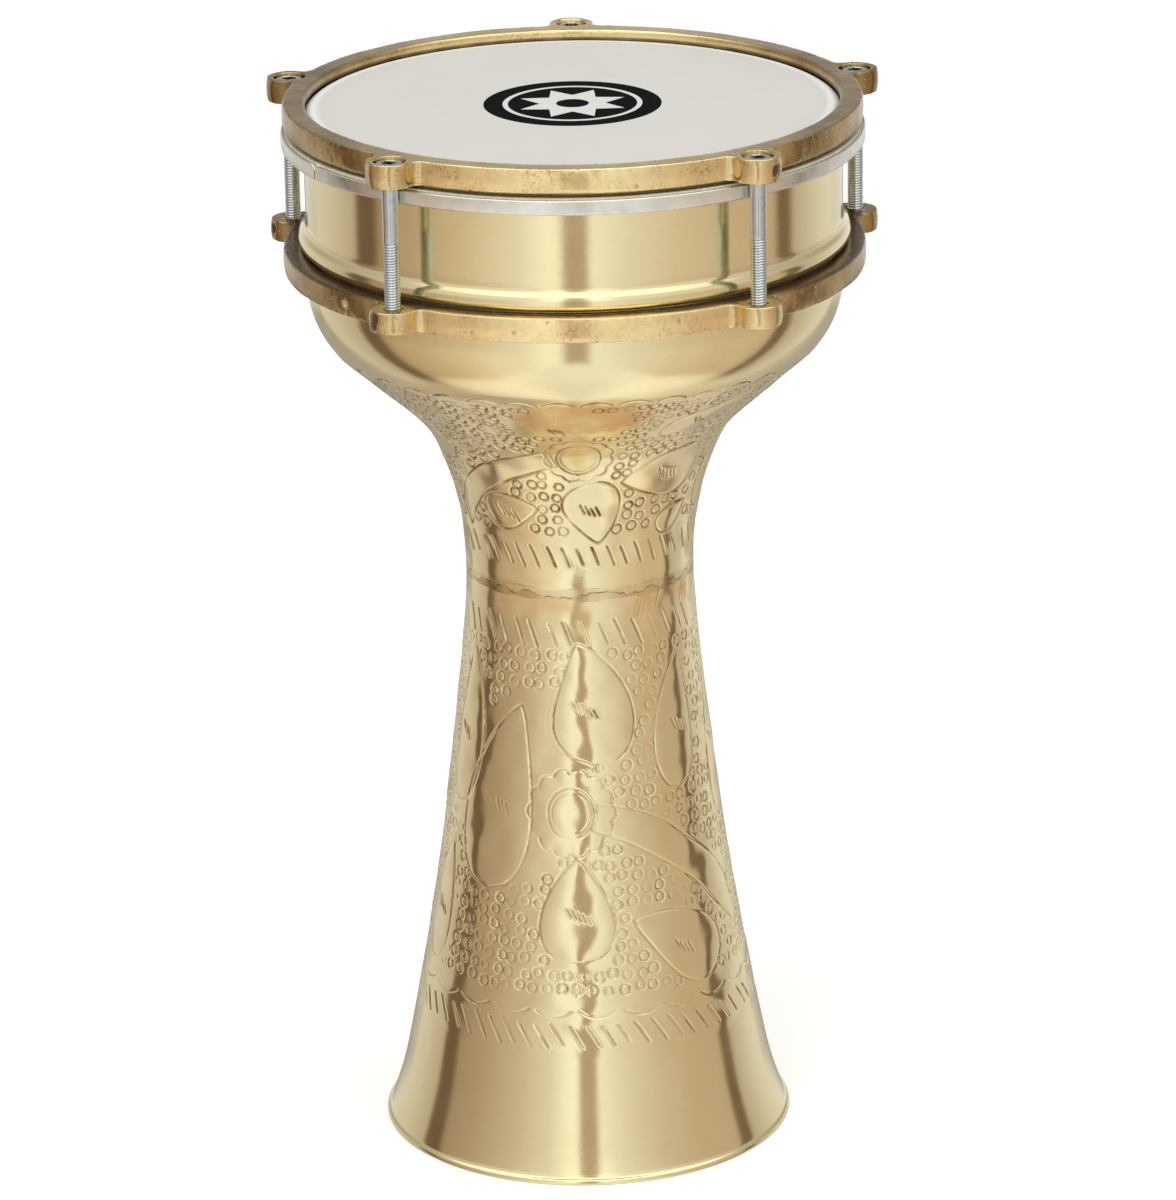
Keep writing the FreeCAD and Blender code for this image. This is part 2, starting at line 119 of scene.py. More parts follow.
class Outline:
    """A line of radius and height made of straight runs and arcs that meet smoothly."""

    def __init__(self, start, heading):
        self.place = np.array(start, float)
        self.heading = math.radians(heading)
        self.points = [self.place]

    def line(self, length):
        ahead = np.array([math.cos(self.heading), math.sin(self.heading)])
        steps = max(1, math.ceil(length / 0.5))
        for i in range(1, steps + 1):
            self.points.append(self.place + ahead * length * i / steps)
        self.place = self.points[-1]

    def arc(self, radius, span, side):
        """side is 1 for a turn to the left and -1 for a turn to the right."""
        steps = max(6, math.ceil(radius * math.radians(span) / 0.4))
        left = np.array([-math.sin(self.heading), math.cos(self.heading)])
        centre = self.place + left * radius * side
        spoke = self.place - centre
        for i in range(1, steps + 1):
            turn = side * math.radians(span) * i / steps
            c, s = math.cos(turn), math.sin(turn)
            self.points.append(centre + np.array([c * spoke[0] - s * spoke[1], s * spoke[0] + c * spoke[1]]))
        self.place = self.points[-1]
        self.heading += side * math.radians(span)


def rise(radius, angle):
    """How far a circle of this radius falls away from its tangent over an angle in degrees."""
    return radius * (1 - math.cos(math.radians(angle)))


def reach(radius, angle):
    """How far along its tangent a circle of this radius gets over an angle in degrees."""
    return radius * math.sin(math.radians(angle))


def swing(radius, angle):
    """The step outwards and upwards along an arc that starts straight up."""
    return np.array([rise(radius, angle), reach(radius, angle)])


def bowl_outline():
    """The bowl's outer face, from its lip down to the waist."""
    crown = BEAD_PROUD / (1 - math.cos(math.radians(BEAD_SLOPE))) - BEAD_VALLEY
    hook = BEAD_PROUD / (1 - math.cos(math.radians(BEAD_HOOK))) - BEAD_UNDERSIDE
    neck_end = np.array([WAIST_RADIUS, WAIST_HEIGHT]) + swing(NECK_FLARE, FLARE_ANGLE)
    bend_end = neck_end + swing(NECK_BEND, CONE_ANGLE) - swing(NECK_BEND, FLARE_ANGLE)
    cone_top = RIM_RADIUS - rise(SHOULDER_RADIUS, CONE_ANGLE)
    cone_length = (cone_top - bend_end[0]) / math.sin(math.radians(CONE_ANGLE))
    cone_rise = cone_length * math.cos(math.radians(CONE_ANGLE))
    shoulder = bend_end[1] + cone_rise + reach(SHOULDER_RADIUS, CONE_ANGLE)
    o = Outline((RIM_LIP_RADIUS, RIM_HEIGHT), 0)
    o.line(2.0)
    o.arc(4.0, 90, -1)
    o.line(o.place[1] - BEAD_HEIGHT - reach(BEAD_VALLEY + crown, BEAD_SLOPE))
    o.arc(BEAD_VALLEY, BEAD_SLOPE, 1)
    o.arc(crown, BEAD_SLOPE, -1)
    o.arc(BEAD_UNDERSIDE, BEAD_HOOK, -1)
    o.arc(hook, BEAD_HOOK, 1)
    o.line(o.place[1] - shoulder)
    o.arc(SHOULDER_RADIUS, CONE_ANGLE, -1)
    o.line(cone_length)
    o.arc(NECK_BEND, CONE_ANGLE - FLARE_ANGLE, 1)
    o.arc(NECK_FLARE, FLARE_ANGLE, 1)
    return np.array(o.points)


def foot_outline():
    """The foot's outer face, from the waist down to where its hem is rolled."""
    o = Outline((WAIST_RADIUS, JOGGLE_HEIGHT), -90)
    o.arc(*HORN_TOP_ARC, 1)
    o.arc(*HORN_MIDDLE_ARC, 1)
    gap = np.array([FOOT_RADIUS, HEM_CENTRE[1]]) - o.place
    left = np.array([-math.sin(o.heading), math.cos(o.heading)])
    radius = gap @ gap / (2 * gap @ left)
    span = 2 * math.degrees(math.asin(np.hypot(*gap) / (2 * radius)))
    o.arc(radius, span, 1)
    return np.array(o.points)


def inner_face(outline):
    """The same line moved inwards by the sheet's thickness."""
    ahead = np.gradient(outline, axis=0)
    ahead /= np.hypot(ahead[:, 0], ahead[:, 1])[:, None]
    return outline + SHEET * np.stack([ahead[:, 1], -ahead[:, 0]], 1)


def respaced(outline, step):
    """The line's points at even steps along it."""
    along = np.concatenate([[0], np.cumsum(np.hypot(*np.diff(outline, axis=0).T))])
    even = np.linspace(0, along[-1], max(2, math.ceil(along[-1] / step)))
    return np.stack([np.interp(even, along, outline[:, 0]), np.interp(even, along, outline[:, 1])], 1)


def between(outline, top, bottom):
    """The part of a falling line between two heights, with points at both."""
    radius = np.interp([-top, -bottom], -outline[:, 1], outline[:, 0])
    inside = outline[(outline[:, 1] < top - 0.01) & (outline[:, 1] > bottom + 0.01)]
    return np.concatenate([[[radius[0], top]], inside, [[radius[1], bottom]]])


# ---- meshes


def placed(name, data):
    """A new object in the scene."""
    made = bpy.data.objects.new(name, data)
    bpy.context.scene.collection.objects.link(made)
    return made


def applied_mesh(piece):
    """A piece's mesh with its modifiers applied."""
    return bpy.data.meshes.new_from_object(piece.evaluated_get(bpy.context.evaluated_depsgraph_get()))


def angles_round(columns):
    """Even angles right round the drum."""
    return np.arange(columns) * 2 * math.pi / columns


def on_circle(radius, angle, height):
    """Points from radius, angle and height, each a number for all of them or one number a point."""
    return np.stack(np.broadcast_arrays(radius * np.cos(angle), radius * np.sin(angle), height), 1)


def add_numbers(mesh, name, numbers):
    """Gives each point of a mesh a number that its material can read."""
    mesh.attributes.new(name, "FLOAT", "POINT").data.foreach_set("value", np.asarray(numbers, np.float32))


def make_object(name, points, faces, values=None, sharp=None):
    """A smooth mesh from points in mm, lists of faces by corner count, and numbers for each point by name."""
    mesh = bpy.data.meshes.new(name)
    mesh.vertices.add(len(points))
    mesh.vertices.foreach_set("co", (np.asarray(points, float) * MM).ravel())
    corners = np.concatenate([np.asarray(f).ravel() for f in faces])
    sizes = np.concatenate([np.full(len(f), np.asarray(f).shape[1]) for f in faces])
    mesh.loops.add(len(corners))
    mesh.loops.foreach_set("vertex_index", corners)
    mesh.polygons.add(len(sizes))
    mesh.polygons.foreach_set("loop_start", np.concatenate([[0], np.cumsum(sizes)[:-1]]))
    mesh.update(calc_edges=True)
    mesh.validate()
    mesh.polygons.foreach_set("use_smooth", np.ones(len(mesh.polygons), bool))
    if sharp is not None:
        mesh.set_sharp_from_angle(angle=math.radians(sharp))
    for label, numbers in (values or {}).items():
        add_numbers(mesh, label, numbers)
    return placed(name, mesh)


class Loft:
    """A surface of rings round the drum's axis, each joined to the one before it.

    A ring has as many points as the one before it, half or double as many, or just one.
    """

    def __init__(self):
        self.points, self.quads, self.triangles = [], [], []
        # Numbers for each point: dark marks together with painted shade, and real stains together with
        # painted shade, highlight and reflection.
        self.values = {"groove": [], "stain_and_painted_light": []}
        self.total, self.last = 0, None

    def add(self, points, groove=None, stain_and_painted_light=None):
        count = len(points)
        first = self.total
        self.points.append(points)
        self.values["groove"].append(np.zeros(count) if groove is None else groove)
        self.values["stain_and_painted_light"].append(np.zeros(count) if stain_and_painted_light is None else stain_and_painted_light)
        self.total += count
        if self.last is not None:
            self.join(*self.last, first, count)
        self.last = (first, count)

    def join(self, upper, upper_count, lower, lower_count):
        if upper_count == lower_count:
            j = np.arange(upper_count)
            k = (j + 1) % upper_count
            self.quads.append(np.stack([upper + j, lower + j, lower + k, upper + k], 1))
            return
        if lower_count == 1 or upper_count == 1:
            count, rim = max((upper_count, upper), (lower_count, lower))
            j = np.arange(count)
            k = (j + 1) % count
            pole = np.full(count, lower if lower_count == 1 else upper)
            order = [rim + j, pole, rim + k] if lower_count == 1 else [rim + k, pole, rim + j]
            self.triangles.append(np.stack(order, 1))
            return
        flip = upper_count < lower_count
        coarse, fine = (upper, lower) if flip else (lower, upper)
        j = np.arange(min(upper_count, lower_count))
        k = (j + 1) % len(j)
        a, b, c = fine + 2 * j, fine + 2 * j + 1, fine + (2 * j + 2) % (2 * len(j))
        for corners in ([a, coarse + j, b], [b, coarse + j, coarse + k], [b, coarse + k, c]):
            self.triangles.append(np.stack(corners[::-1] if flip else corners, 1))

    def turn(self, outline, columns):
        """Adds one ring for each point of an outline."""
        for radius, height in outline:
            self.add(on_circle(radius, angles_round(columns), height))

    def close(self):
        """Joins the last ring to the first, which has as many points."""
        self.join(*self.last, 0, len(self.points[0]))

    def build(self, name, sharp=None):
        faces = [np.concatenate(f) for f in (self.quads, self.triangles) if f]
        values = {k: np.concatenate(v) for k, v in self.values.items()}
        return make_object(name, np.concatenate(self.points), faces, values, sharp)


def wavy(angle, along, waves, lowest, highest, length, draw):
    """A smooth uneven field of about -1 to 1 that closes on itself round the drum."""
    total = 0
    for _ in range(waves):
        turns = draw.integers(lowest, highest + 1)
        slope = draw.normal() * 2 * math.pi / length
        total = total + np.cos(turns * angle + slope * along + draw.uniform(0, 2 * math.pi))
    return total / math.sqrt(waves)


# ---- chased ornament


def smooth_path(points, steps=8):
    """A smooth line through a few points."""
    p = np.asarray(points, float)
    p = np.concatenate([[2 * p[0] - p[1]], p, [2 * p[-1] - p[-2]]])
    out = []
    for a, b, c, d in zip(p, p[1:], p[2:], p[3:]):
        square, cube = 2 * a - 5 * b + 4 * c - d, 3 * b - a - 3 * c + d
        for t in np.arange(steps) / steps:
            out.append(0.5 * (2 * b + (c - a) * t + square * t**2 + cube * t**3))
    return np.array(out + [p[-2]])


def leaf_path(length, width, bend):
    """A teardrop from its round end, at the origin, to its tip, straight up the page but bent on the way."""
    t = np.linspace(0, 1, 30)
    turn = np.radians(bend) * (t - 0.5)
    spine = np.stack([np.cumsum(np.sin(turn)), np.cumsum(np.cos(turn))], 1)
    spine = (spine - spine[0]) * length / np.hypot(*(spine[-1] - spine[0]))
    half = width / 2 * np.sin(np.pi * t**0.62) ** 0.75
    side = np.stack([np.cos(turn), -np.sin(turn)], 1) * half[:, None]
    return np.concatenate([spine - side, (spine + side)[::-1]])


class Relief:
    """Chased work on a grid: rows are places down an outline, and columns are angles round the drum."""

    def __init__(self, outline, columns, force, cut_dirt_and_shade):
        self.force, self.cut_dirt_and_shade = force, cut_dirt_and_shade
        self.radius, self.height = outline[:, 0], outline[:, 1]
        self.along = np.concatenate([[0], np.cumsum(np.hypot(*np.diff(outline, axis=0).T))])
        self.columns = columns
        self.angle = angles_round(columns)
        self.half = 0
        shape = (len(outline), columns)
        self.cut, self.lip, self.raised, self.stain_and_painted_light = (np.zeros(shape) for _ in range(4))
        self.busy = np.zeros(shape, bool)

    def spot(self, degrees, height):
        """An angle and a height as an angle in radians and a place along the outline."""
        return math.radians(degrees + self.half), float(np.interp(-height, -self.height, self.along))

    def flat(self, spot, points):
        """Angles and heights as distances across and up from a spot, in mm."""
        out = []
        for degrees, height in points:
            theta, along = self.spot(degrees, height)
            turn = (theta - spot[0] + math.pi) % (2 * math.pi) - math.pi
            out.append([turn * np.interp(along, self.along, self.radius), spot[1] - along])
        return np.array(out)

    def window(self, spot, far):
        """The grid's cells within a distance of a spot, and how far across and up from it they are."""
        rows = np.flatnonzero(np.abs(self.along - spot[1]) <= far)
        if not len(rows):
            return None, None, None
        turn = (self.angle - spot[0] + math.pi) % (2 * math.pi) - math.pi
        columns = np.flatnonzero(np.abs(turn) * self.radius[rows].min() <= far)
        across = self.radius[rows][:, None] * turn[columns][None]
        up = np.repeat((spot[1] - self.along[rows])[:, None], len(columns), 1)
        return np.ix_(rows, columns), across, up

    def press(self, where, distance, width, depth):
        """A rounded cut at distance 0, with a slight lip thrown up beside it."""
        self.cut[where] = np.maximum(self.cut[where], depth * np.exp(-((distance / width) ** 2)))
        lip = 0.16 * depth * np.exp(-(((distance - 2.1 * width) / width) ** 2))
        self.lip[where] = np.maximum(self.lip[where], lip)

    def stroke(self, spot, path, width=0.36, depth=0.25, margin=1.7):
        """A cut along a path, in mm across and up from a spot."""
        where, across, up = self.window(spot, np.abs(path).max() + 4 * width)
        if where is None:
            return None
        distance = np.full(across.shape, np.inf)
        for a, b in zip(path[:-1], path[1:]):
            run = b - a
            t = np.clip(((across - a[0]) * run[0] + (up - a[1]) * run[1]) / max(run @ run, 1e-9), 0, 1)
            distance = np.minimum(distance, np.hypot(across - a[0] - t * run[0], up - a[1] - t * run[1]))
        self.press(where, distance, width, depth)
        self.busy[where] |= distance < margin
        return where, across, up, distance

    def shape(self, spot, path, proud=0.3, **how):
        """A closed outline whose inside stands proud of the ground beaten down round it."""
        closed = np.concatenate([path, path[:1]])
        where, across, up, distance = self.stroke(spot, closed, **how)
        inside = np.zeros(across.shape, bool)
        for a, b in zip(closed[:-1], closed[1:]):
            crosses = (a[1] > up) != (b[1] > up)
            rise_over = np.where(crosses, (up - a[1]) / (b[1] - a[1] if b[1] != a[1] else 1), 0)
            inside ^= crosses & (across < a[0] + rise_over * (b[0] - a[0]))
        crown = np.where(inside, proud * (1 - np.exp(-distance / 2.2)), 0)
        self.raised[where] = np.maximum(self.raised[where], crown)
        self.busy[where] |= inside

    def leaf(self, base, tip, width, bend=0, veins=4):
        """A leaf between two places given as angle and height, with short veins at its heart."""
        spot = self.spot(*base)
        run = self.flat(spot, [tip])[0]
        path = leaf_path(np.hypot(*run), width, bend)
        c, s = run[1] / np.hypot(*run), run[0] / np.hypot(*run)
        self.shape(spot, path @ np.array([[c, -s], [s, c]]))
        self.veins_at(spot, run * 0.45, veins)

    def veins_at(self, spot, middle, count):
        """A few short strokes side by side, some way across and up from a spot."""
        for k in range(count):
            shift = (k - (count - 1) / 2) * 1.9
            start = middle + np.array([shift, DRAW.uniform(-0.5, 0.5) - 0.35 * shift])
            half = np.array([-0.8, DRAW.uniform(1.4, 2.2)])
            self.stroke(spot, np.array([start + half, start - half]), 0.4, 0.36)

    def veins(self, degrees, height, count):
        self.veins_at(self.spot(degrees, height), np.zeros(2), count)

    def rosette(self, degrees, height, hub, petals, outer):
        """A round boss in a doubled line, in a ring of petals."""
        spot = self.spot(degrees, height)
        around = np.linspace(0, 2 * math.pi, 15 * petals + 1)
        petal = outer * (0.92 + 0.09 * np.abs(np.sin(petals * around / 2)))
        self.shape(spot, np.stack([petal * np.sin(around), petal * np.cos(around)], 1)[:-1], 0.25)
        for size, depth in ((hub, 0.3), (hub - 1.3, 0.1)):
            circle = np.stack([size * np.sin(around), size * 1.12 * np.cos(around)], 1)[:-1]
            self.shape(spot, circle, 0.6, depth=depth)

    def band(self, upper, lower):
        """A stem between two lines of angles and heights, which run the same way."""
        spot = self.spot(*upper[len(upper) // 2])
        sides = [smooth_path(self.flat(spot, line)) for line in (upper, lower)]
        self.shape(spot, np.concatenate([sides[0], sides[1][::-1]]), 0.2)

    def dashes(self, count, height, lean, rise_by, width=0.42, depth=0.34):
        """A border of slanting dashes right round."""
        for k in range(count):
            spot = self.spot((k + DRAW.uniform(-0.12, 0.12)) * 360 / count, height + DRAW.uniform(-0.6, 0.6))
            half = np.array([-lean, rise_by]) / 2 * DRAW.uniform(0.85, 1.12)
            path = np.array([half, half * 0.3 + [0.15, 0], -half])
            self.stroke(spot, path, width, depth * DRAW.uniform(0.7, 1.1))

    def scallops(self, count, height, sag, depth=0.26):
        """A border of arcs that hang below a height, or rise above it where sag is negative."""
        theta = 2 * math.pi / count
        for k in range(count):
            spot = self.spot((k + 0.5) * 360 / count, height)
            half = theta * np.interp(spot[1], self.along, self.radius) / 2 * 0.96
            t = np.linspace(-0.86, 0.86, 13)
            self.stroke(spot, np.stack([half * t, -sag * (1 - t**2)], 1), depth=depth)

    def rings(self, top, bottom, size, pitch):
        """Punched rings wherever nothing else is, in uneven rows."""
        start, stop = self.spot(0, top)[1], self.spot(0, bottom)[1]
        for row in range(int((stop - start) / pitch) + 1):
            along = start + row * pitch
            radius = np.interp(along, self.along, self.radius)
            count = int(2 * math.pi * radius / (pitch * 1.08))
            for k in range(count):
                theta = (k + 0.5 * (row % 2) + DRAW.uniform(-0.2, 0.2)) * 2 * math.pi / count
                spot = (theta, along + DRAW.uniform(-0.17, 0.17) * pitch)
                across = size * DRAW.uniform(0.92, 1.08)
                depth = DRAW.uniform(0.18, 0.34)
                i = min(int(np.searchsorted(self.along, spot[1])), len(self.along) - 1)
                if self.busy[i, int(theta / (2 * math.pi) * self.columns) % self.columns]:
                    continue
                where, x, up = self.window(spot, 2 * across)
                distance = np.hypot(x, up)
                self.press(where, np.abs(distance - across / 2), 0.36, depth)
                self.raised[where] -= 0.08 * np.exp(-((distance / across) ** 2))

    def clear(self, degrees, height, wide, tall):
        """Keeps punched rings out of an oval."""
        where, across, up = self.window(self.spot(degrees, height), max(wide, tall))
        self.busy[where] |= np.hypot(across / wide, up / tall) < 1

    def scratches(self, degrees, height, wide, count):
        """Brown strokes side by side, all slanting one way."""
        spot = self.spot(degrees, height)
        where, across, up = self.window(spot, wide + 8)
        for k in range(count):
            foot = (k / (count - 1) - 0.5) * wide + DRAW.uniform(-0.5, 0.5)
            tall = DRAW.uniform(3.0, 5.5)
            away = np.abs(across - foot - 0.28 * up)
            stroke = np.exp(-((away / DRAW.uniform(0.25, 0.6)) ** 2)) / (1 + np.exp((np.abs(up) - tall) * 3))
            self.stain_and_painted_light[where] = np.maximum(self.stain_and_painted_light[where], stroke)
            self.cut[where] = np.maximum(self.cut[where], stroke * DRAW.uniform(0.05, 0.16))

    def blot(self, degrees, height, wide, tall, strength):
        """Staining with soft edges."""
        where, across, up = self.window(self.spot(degrees, height), 2.4 * max(wide, tall))
        soft = strength * np.exp(-((across / wide) ** 2) - (up / tall) ** 2)
        self.stain_and_painted_light[where] = np.maximum(self.stain_and_painted_light[where], soft)

    def patch(self, degrees, height, wide, tall, strength):
        """A painted reflection: an orange-brown mark with a firm, uneven edge."""
        where, across, up = self.window(self.spot(degrees, height), 1.5 * max(wide, tall))
        edge = np.hypot(across / wide, up / tall)
        edge += 0.07 * np.sin(across * 0.9 + 1.1) + 0.06 * np.sin(up * 1.3)
        soft = strength / (1 + np.exp((edge - 1) * 16)) * (0.72 + 0.28 * edge)
        self.stain_and_painted_light[where] = np.maximum(self.stain_and_painted_light[where], soft)

    def finished(self, top, bottom):
        """How far the surface moves outwards in mm, and how dark the cuts are from 0 to 1."""
        fade = np.clip(np.minimum(top - self.height, self.height - bottom) / 3.0, 0, 1)[:, None]
        grid = np.meshgrid(self.angle, self.along)
        hand = np.clip(0.85 + 0.4 * wavy(*grid, 18, 4, 30, 20, DRAW), 0.3, 1.35)
        dents = 0.075 * wavy(*grid, 40, 3, 24, 26, DRAW)
        cut = self.cut * hand * self.force
        move = fade * (self.raised + self.force * (self.lip * hand + dents)) - cut
        # The cuts' darkness is dirt in them and painted shade.
        return move, np.clip(cut / 0.36, 0, 1) * self.cut_dirt_and_shade


def add_relief(loft, relief, top, bottom):
    """Adds the worked rows to a loft, moved along the surface's outward direction."""
    move, groove = relief.finished(top, bottom)
    slope = np.gradient(np.stack([relief.radius, relief.height], 1), axis=0)
    slope /= np.hypot(slope[:, 0], slope[:, 1])[:, None]
    for i in range(len(relief.along)):
        radius = relief.radius[i] - move[i] * slope[i, 1]
        height = relief.height[i] + move[i] * slope[i, 0]
        loft.add(on_circle(radius, relief.angle, height), groove[i], relief.stain_and_painted_light[i])


# The ornament is the same on both halves of the drum: degrees each is turned by.
HALVES = (0, 180)


def chase_bowl(relief):
    """The neck's ornament: a rosette and its stem among leaves, on a ground of rings, between two borders."""
    relief.dashes(48, 236.3, 3.0, 7.6)
    relief.scallops(40, 308.2, -2.6)
    for half in HALVES:
        relief.half = half
        relief.rosette(270, 279.5, 8.2, 12, 13.0)
        upper = [(259, 282), (246, 278), (229, 272), (213, 262), (203, 252)]
        lower = [(262, 275), (251, 271), (236, 265), (222, 257), (207, 243)]
        relief.band(upper, lower)
        relief.leaf((272, 267), (279, 242), 22, 20)
        relief.leaf((224, 250), (251, 256), 15, 25)
        relief.leaf((326, 268), (288, 267), 23, -20, 5)
        relief.clear(268, 298, 24, 13)
        relief.veins(264, 294, 3)
        relief.leaf((208, 270), (214, 296), 14, 20, 3)
        relief.leaf((296, 288), (318, 301), 12, 20, 3)
        relief.leaf((342, 246), (338, 282), 15, -25, 3)
        relief.leaf((352, 300), (368, 278), 13, 15, 3)
        relief.leaf((310, 244), (326, 253), 10, 0, 0)
        # Painted reflection: orange-brown patches at the front of the neck, repeated on the back.
        relief.patch(271, 301.5, 25, 12.5, 1.0)
        relief.patch(268, 286.5, 12, 8.0, 0.75)
        relief.blot(308, 262, 7, 7, 0.4)
        relief.blot(226, 262, 6, 10, 0.35)
        relief.blot(246, 279, 4, 3, 0.5)
    relief.half = 0
    relief.rings(305.5, 242.5, 3.5, 4.9)


def chase_foot(relief):
    """The horn's ornament: a larger rosette with a sweeping stem, broad leaves and a ground of rings."""
    relief.dashes(41, 206.2, 3.6, 9.0)
    relief.scallops(23, 64.6, 3.2)
    relief.dashes(61, 54.6, 5.2, 8.2)
    for half in HALVES:
        relief.half = half
        relief.rosette(264.5, 138.5, 8.6, 14, 16.8)
        upper = [(276, 142), (292, 138), (306, 132), (317, 123.5), (329, 114.5), (342, 101)]
        lower = [(273, 132), (287, 127), (304, 117), (319, 106), (330, 94), (346, 78)]
        relief.band(upper, lower)
        relief.leaf((274, 157), (268, 203), 31, -30, 5)
        relief.leaf((228, 106), (240, 178), 32, 18, 3)
        relief.leaf((268, 82), (267, 121), 29, 12, 5)
        relief.leaf((325, 72), (289, 97), 26, -24)
        relief.leaf((317, 143), (323, 195), 20, 24)
        relief.leaf((203, 134), (208, 196), 19, -18, 3)
        relief.leaf((198, 70), (203, 118), 20, 16)
        relief.leaf((349, 122), (354, 190), 20, -16)
        relief.clear(245, 149, 21, 37)
    relief.half = 0
    relief.rings(198, 67.5, 3.6, 5.3)
    for blot in (
        (306, 216, 8, 5, 0.7),
        (228, 217, 5, 5, 0.75),
        (252, 217.5, 15, 4.0, 0.85),
        (272, 213, 4, 6, 0.5),
        (330, 216, 7, 6, 0.7),
        (60, 215, 11, 5, 0.7),
        (130, 217, 18, 4, 0.5),
        (180, 214, 6, 7, 0.8),
        (14, 215, 6, 5, 0.5),
        (96, 214, 5, 6, 0.5),
    ):
        relief.blot(*blot)
    for degrees, wide, count in ((305, 9, 9), (332, 5, 5), (66, 7, 7), (190, 8, 8)):
        relief.scratches(degrees, 215.5, wide, count)


def make_bowl():
    """The bowl, as one closed sheet from the waist up over the rim and down its inside."""
    outer = bowl_outline()
    inner = inner_face(outer)
    worked = respaced(between(outer, BOWL_WORK_TOP, WAIST_HEIGHT), WORK_STEP)
    relief = Relief(worked, BOWL_COLUMNS, 1.8, 1.0)
    chase_bowl(relief)
    loft = Loft()
    loft.turn([(RIM_LIP_RADIUS, RIM_HEIGHT - SHEET), (RIM_LIP_RADIUS, RIM_HEIGHT)], BOWL_COLUMNS // 4)
    top = respaced(outer[outer[:, 1] > BOWL_WORK_TOP + 0.1], 0.9)[1:]
    loft.turn(top, BOWL_COLUMNS // 2)
    # Painted shade with some grime: dark brown under the bead, where it sits on the lower ring, and in the
    # crease above it, darkest at the drum's left and right.
    shade_under_bead = np.exp(-(((top[:, 1] - LOWER_RING_TOP) / 1.6) ** 4))
    crease_shade = np.exp(-(((top[:, 1] - BEAD_CREASE) / 0.5) ** 2))
    angle = angles_round(BOWL_COLUMNS // 2)
    uneven = np.clip(0.75 + 0.3 * wavy(angle, 0, 14, 3, 40, 1, np.random.default_rng(3)), 0.2, 1)
    side = np.clip((np.abs(np.cos(angle)) - 0.2) / 0.5, 0, 1)
    for i, dark in enumerate(shade_under_bead + 0.55 * crease_shade, 2):
        loft.values["stain_and_painted_light"][i] = dark * uneven * (0.45 + 0.55 * side)
        loft.values["groove"][i] = 0.8 * dark**2 * side
    add_relief(loft, relief, BOWL_WORK_TOP, WAIST_HEIGHT)
    end = outer[-1]
    loft.turn([(end[0] - 0.05, end[1])], BOWL_COLUMNS // 2)
    loft.turn([(end[0] - 0.1, end[1])], BOWL_COLUMNS // 4)
    loft.turn(respaced(inner, 2.2)[::-1][:-1], BOWL_COLUMNS // 4)
    loft.close()
    return loft.build("bowl_shell_chased", 50)


def make_foot():
    """The foot, as one closed sheet from its spigot down over the hem and up its inside."""
    outer = foot_outline()
    inner = inner_face(outer)
    worked = respaced(between(outer, JOGGLE_HEIGHT, FOOT_WORK_END), WORK_STEP)
    relief = Relief(worked, FOOT_COLUMNS, 1.2, 0.6)
    chase_foot(relief)
    loft = Loft()
    spigot = [(SPIGOT_RADIUS - SHEET, SPIGOT_TOP), (SPIGOT_RADIUS, SPIGOT_TOP), (SPIGOT_RADIUS, WAIST_HEIGHT)]
    loft.turn(spigot, FOOT_COLUMNS // 4)
    loft.turn([(WAIST_RADIUS - 0.05, JOGGLE_HEIGHT + 0.05)], FOOT_COLUMNS // 2)
    add_relief(loft, relief, JOGGLE_HEIGHT, FOOT_WORK_END)
    plain = between(outer, FOOT_WORK_END - 0.7, 2.9)
    loft.turn(respaced(plain, 1.1), FOOT_COLUMNS // 2)
    x, z = HEM_CENTRE
    hem = []
    for degrees in list(range(76, -46, -10)) + [-50.3, -129.7] + list(range(-140, -191, -10)):
        turn = math.radians(degrees)
        hem.append((x + HEM_RADIUS * math.cos(turn), max(0.0, z + HEM_RADIUS * math.sin(turn))))
    loft.turn(hem, FOOT_COLUMNS // 2)
    up = between(inner, JOGGLE_HEIGHT, 2.4)[::-1]
    loft.turn(respaced(up, 2.4), FOOT_COLUMNS // 4)
    loft.close()
    return loft.build("foot_shell_chased", 50)


def make_braze():
    """The brazed joint round the waist: a flush band with a seam in it that steps up and down."""
    columns, rows = 720, 26
    angle = angles_round(columns)
    draw = np.random.default_rng(31)
    steps = 0.9 * np.tanh(3 * wavy(angle, 0, 12, 6, 26, 1, draw))
    seam = SEAM_HEIGHT + steps + 0.25 * wavy(angle, 0, 20, 30, 120, 1, draw)
    strength = np.clip(0.7 + 0.5 * wavy(angle, 0, 16, 5, 60, 1, draw), 0.15, 1)
    brown = np.clip(0.45 + 0.4 * wavy(angle, 0, 10, 2, 14, 1, draw), 0, 0.9)
    loft = Loft()
    for height in np.linspace(WAIST_HEIGHT + BRAZE_REACH, JOGGLE_HEIGHT - BRAZE_REACH, rows):
        from_edge = min(WAIST_HEIGHT + BRAZE_REACH - height, height - JOGGLE_HEIGHT + BRAZE_REACH)
        line = np.exp(-(((height - seam) / 0.22) ** 2)) * strength
        proud = 0.05 * min(1.0, from_edge / 0.6) - 0.02 - 0.02 * line
        flare = 0.005 * max(0.0, JOGGLE_HEIGHT - height) + 0.01 * max(0.0, height - WAIST_HEIGHT)
        below = 1 / (1 + np.exp((height - seam) * 3))
        loft.add(on_circle(WAIST_RADIUS + flare + proud, angle, height), line, brown * below)
    loft.turn([(BRAZE_INSIDE, JOGGLE_HEIGHT + 0.4), (BRAZE_INSIDE, WAIST_HEIGHT - 0.4)], columns)
    loft.close()
    return loft.build("waist_braze_seam")


# ---- cast rings


def grain(points, size, seed):
    """Smooth noise of about -1 to 1 at points in mm."""
    shift = Vector((seed * 13.7, seed * 7.1, seed * 3.3))
    return np.array([noise.noise(Vector(p) / size + shift) for p in points])


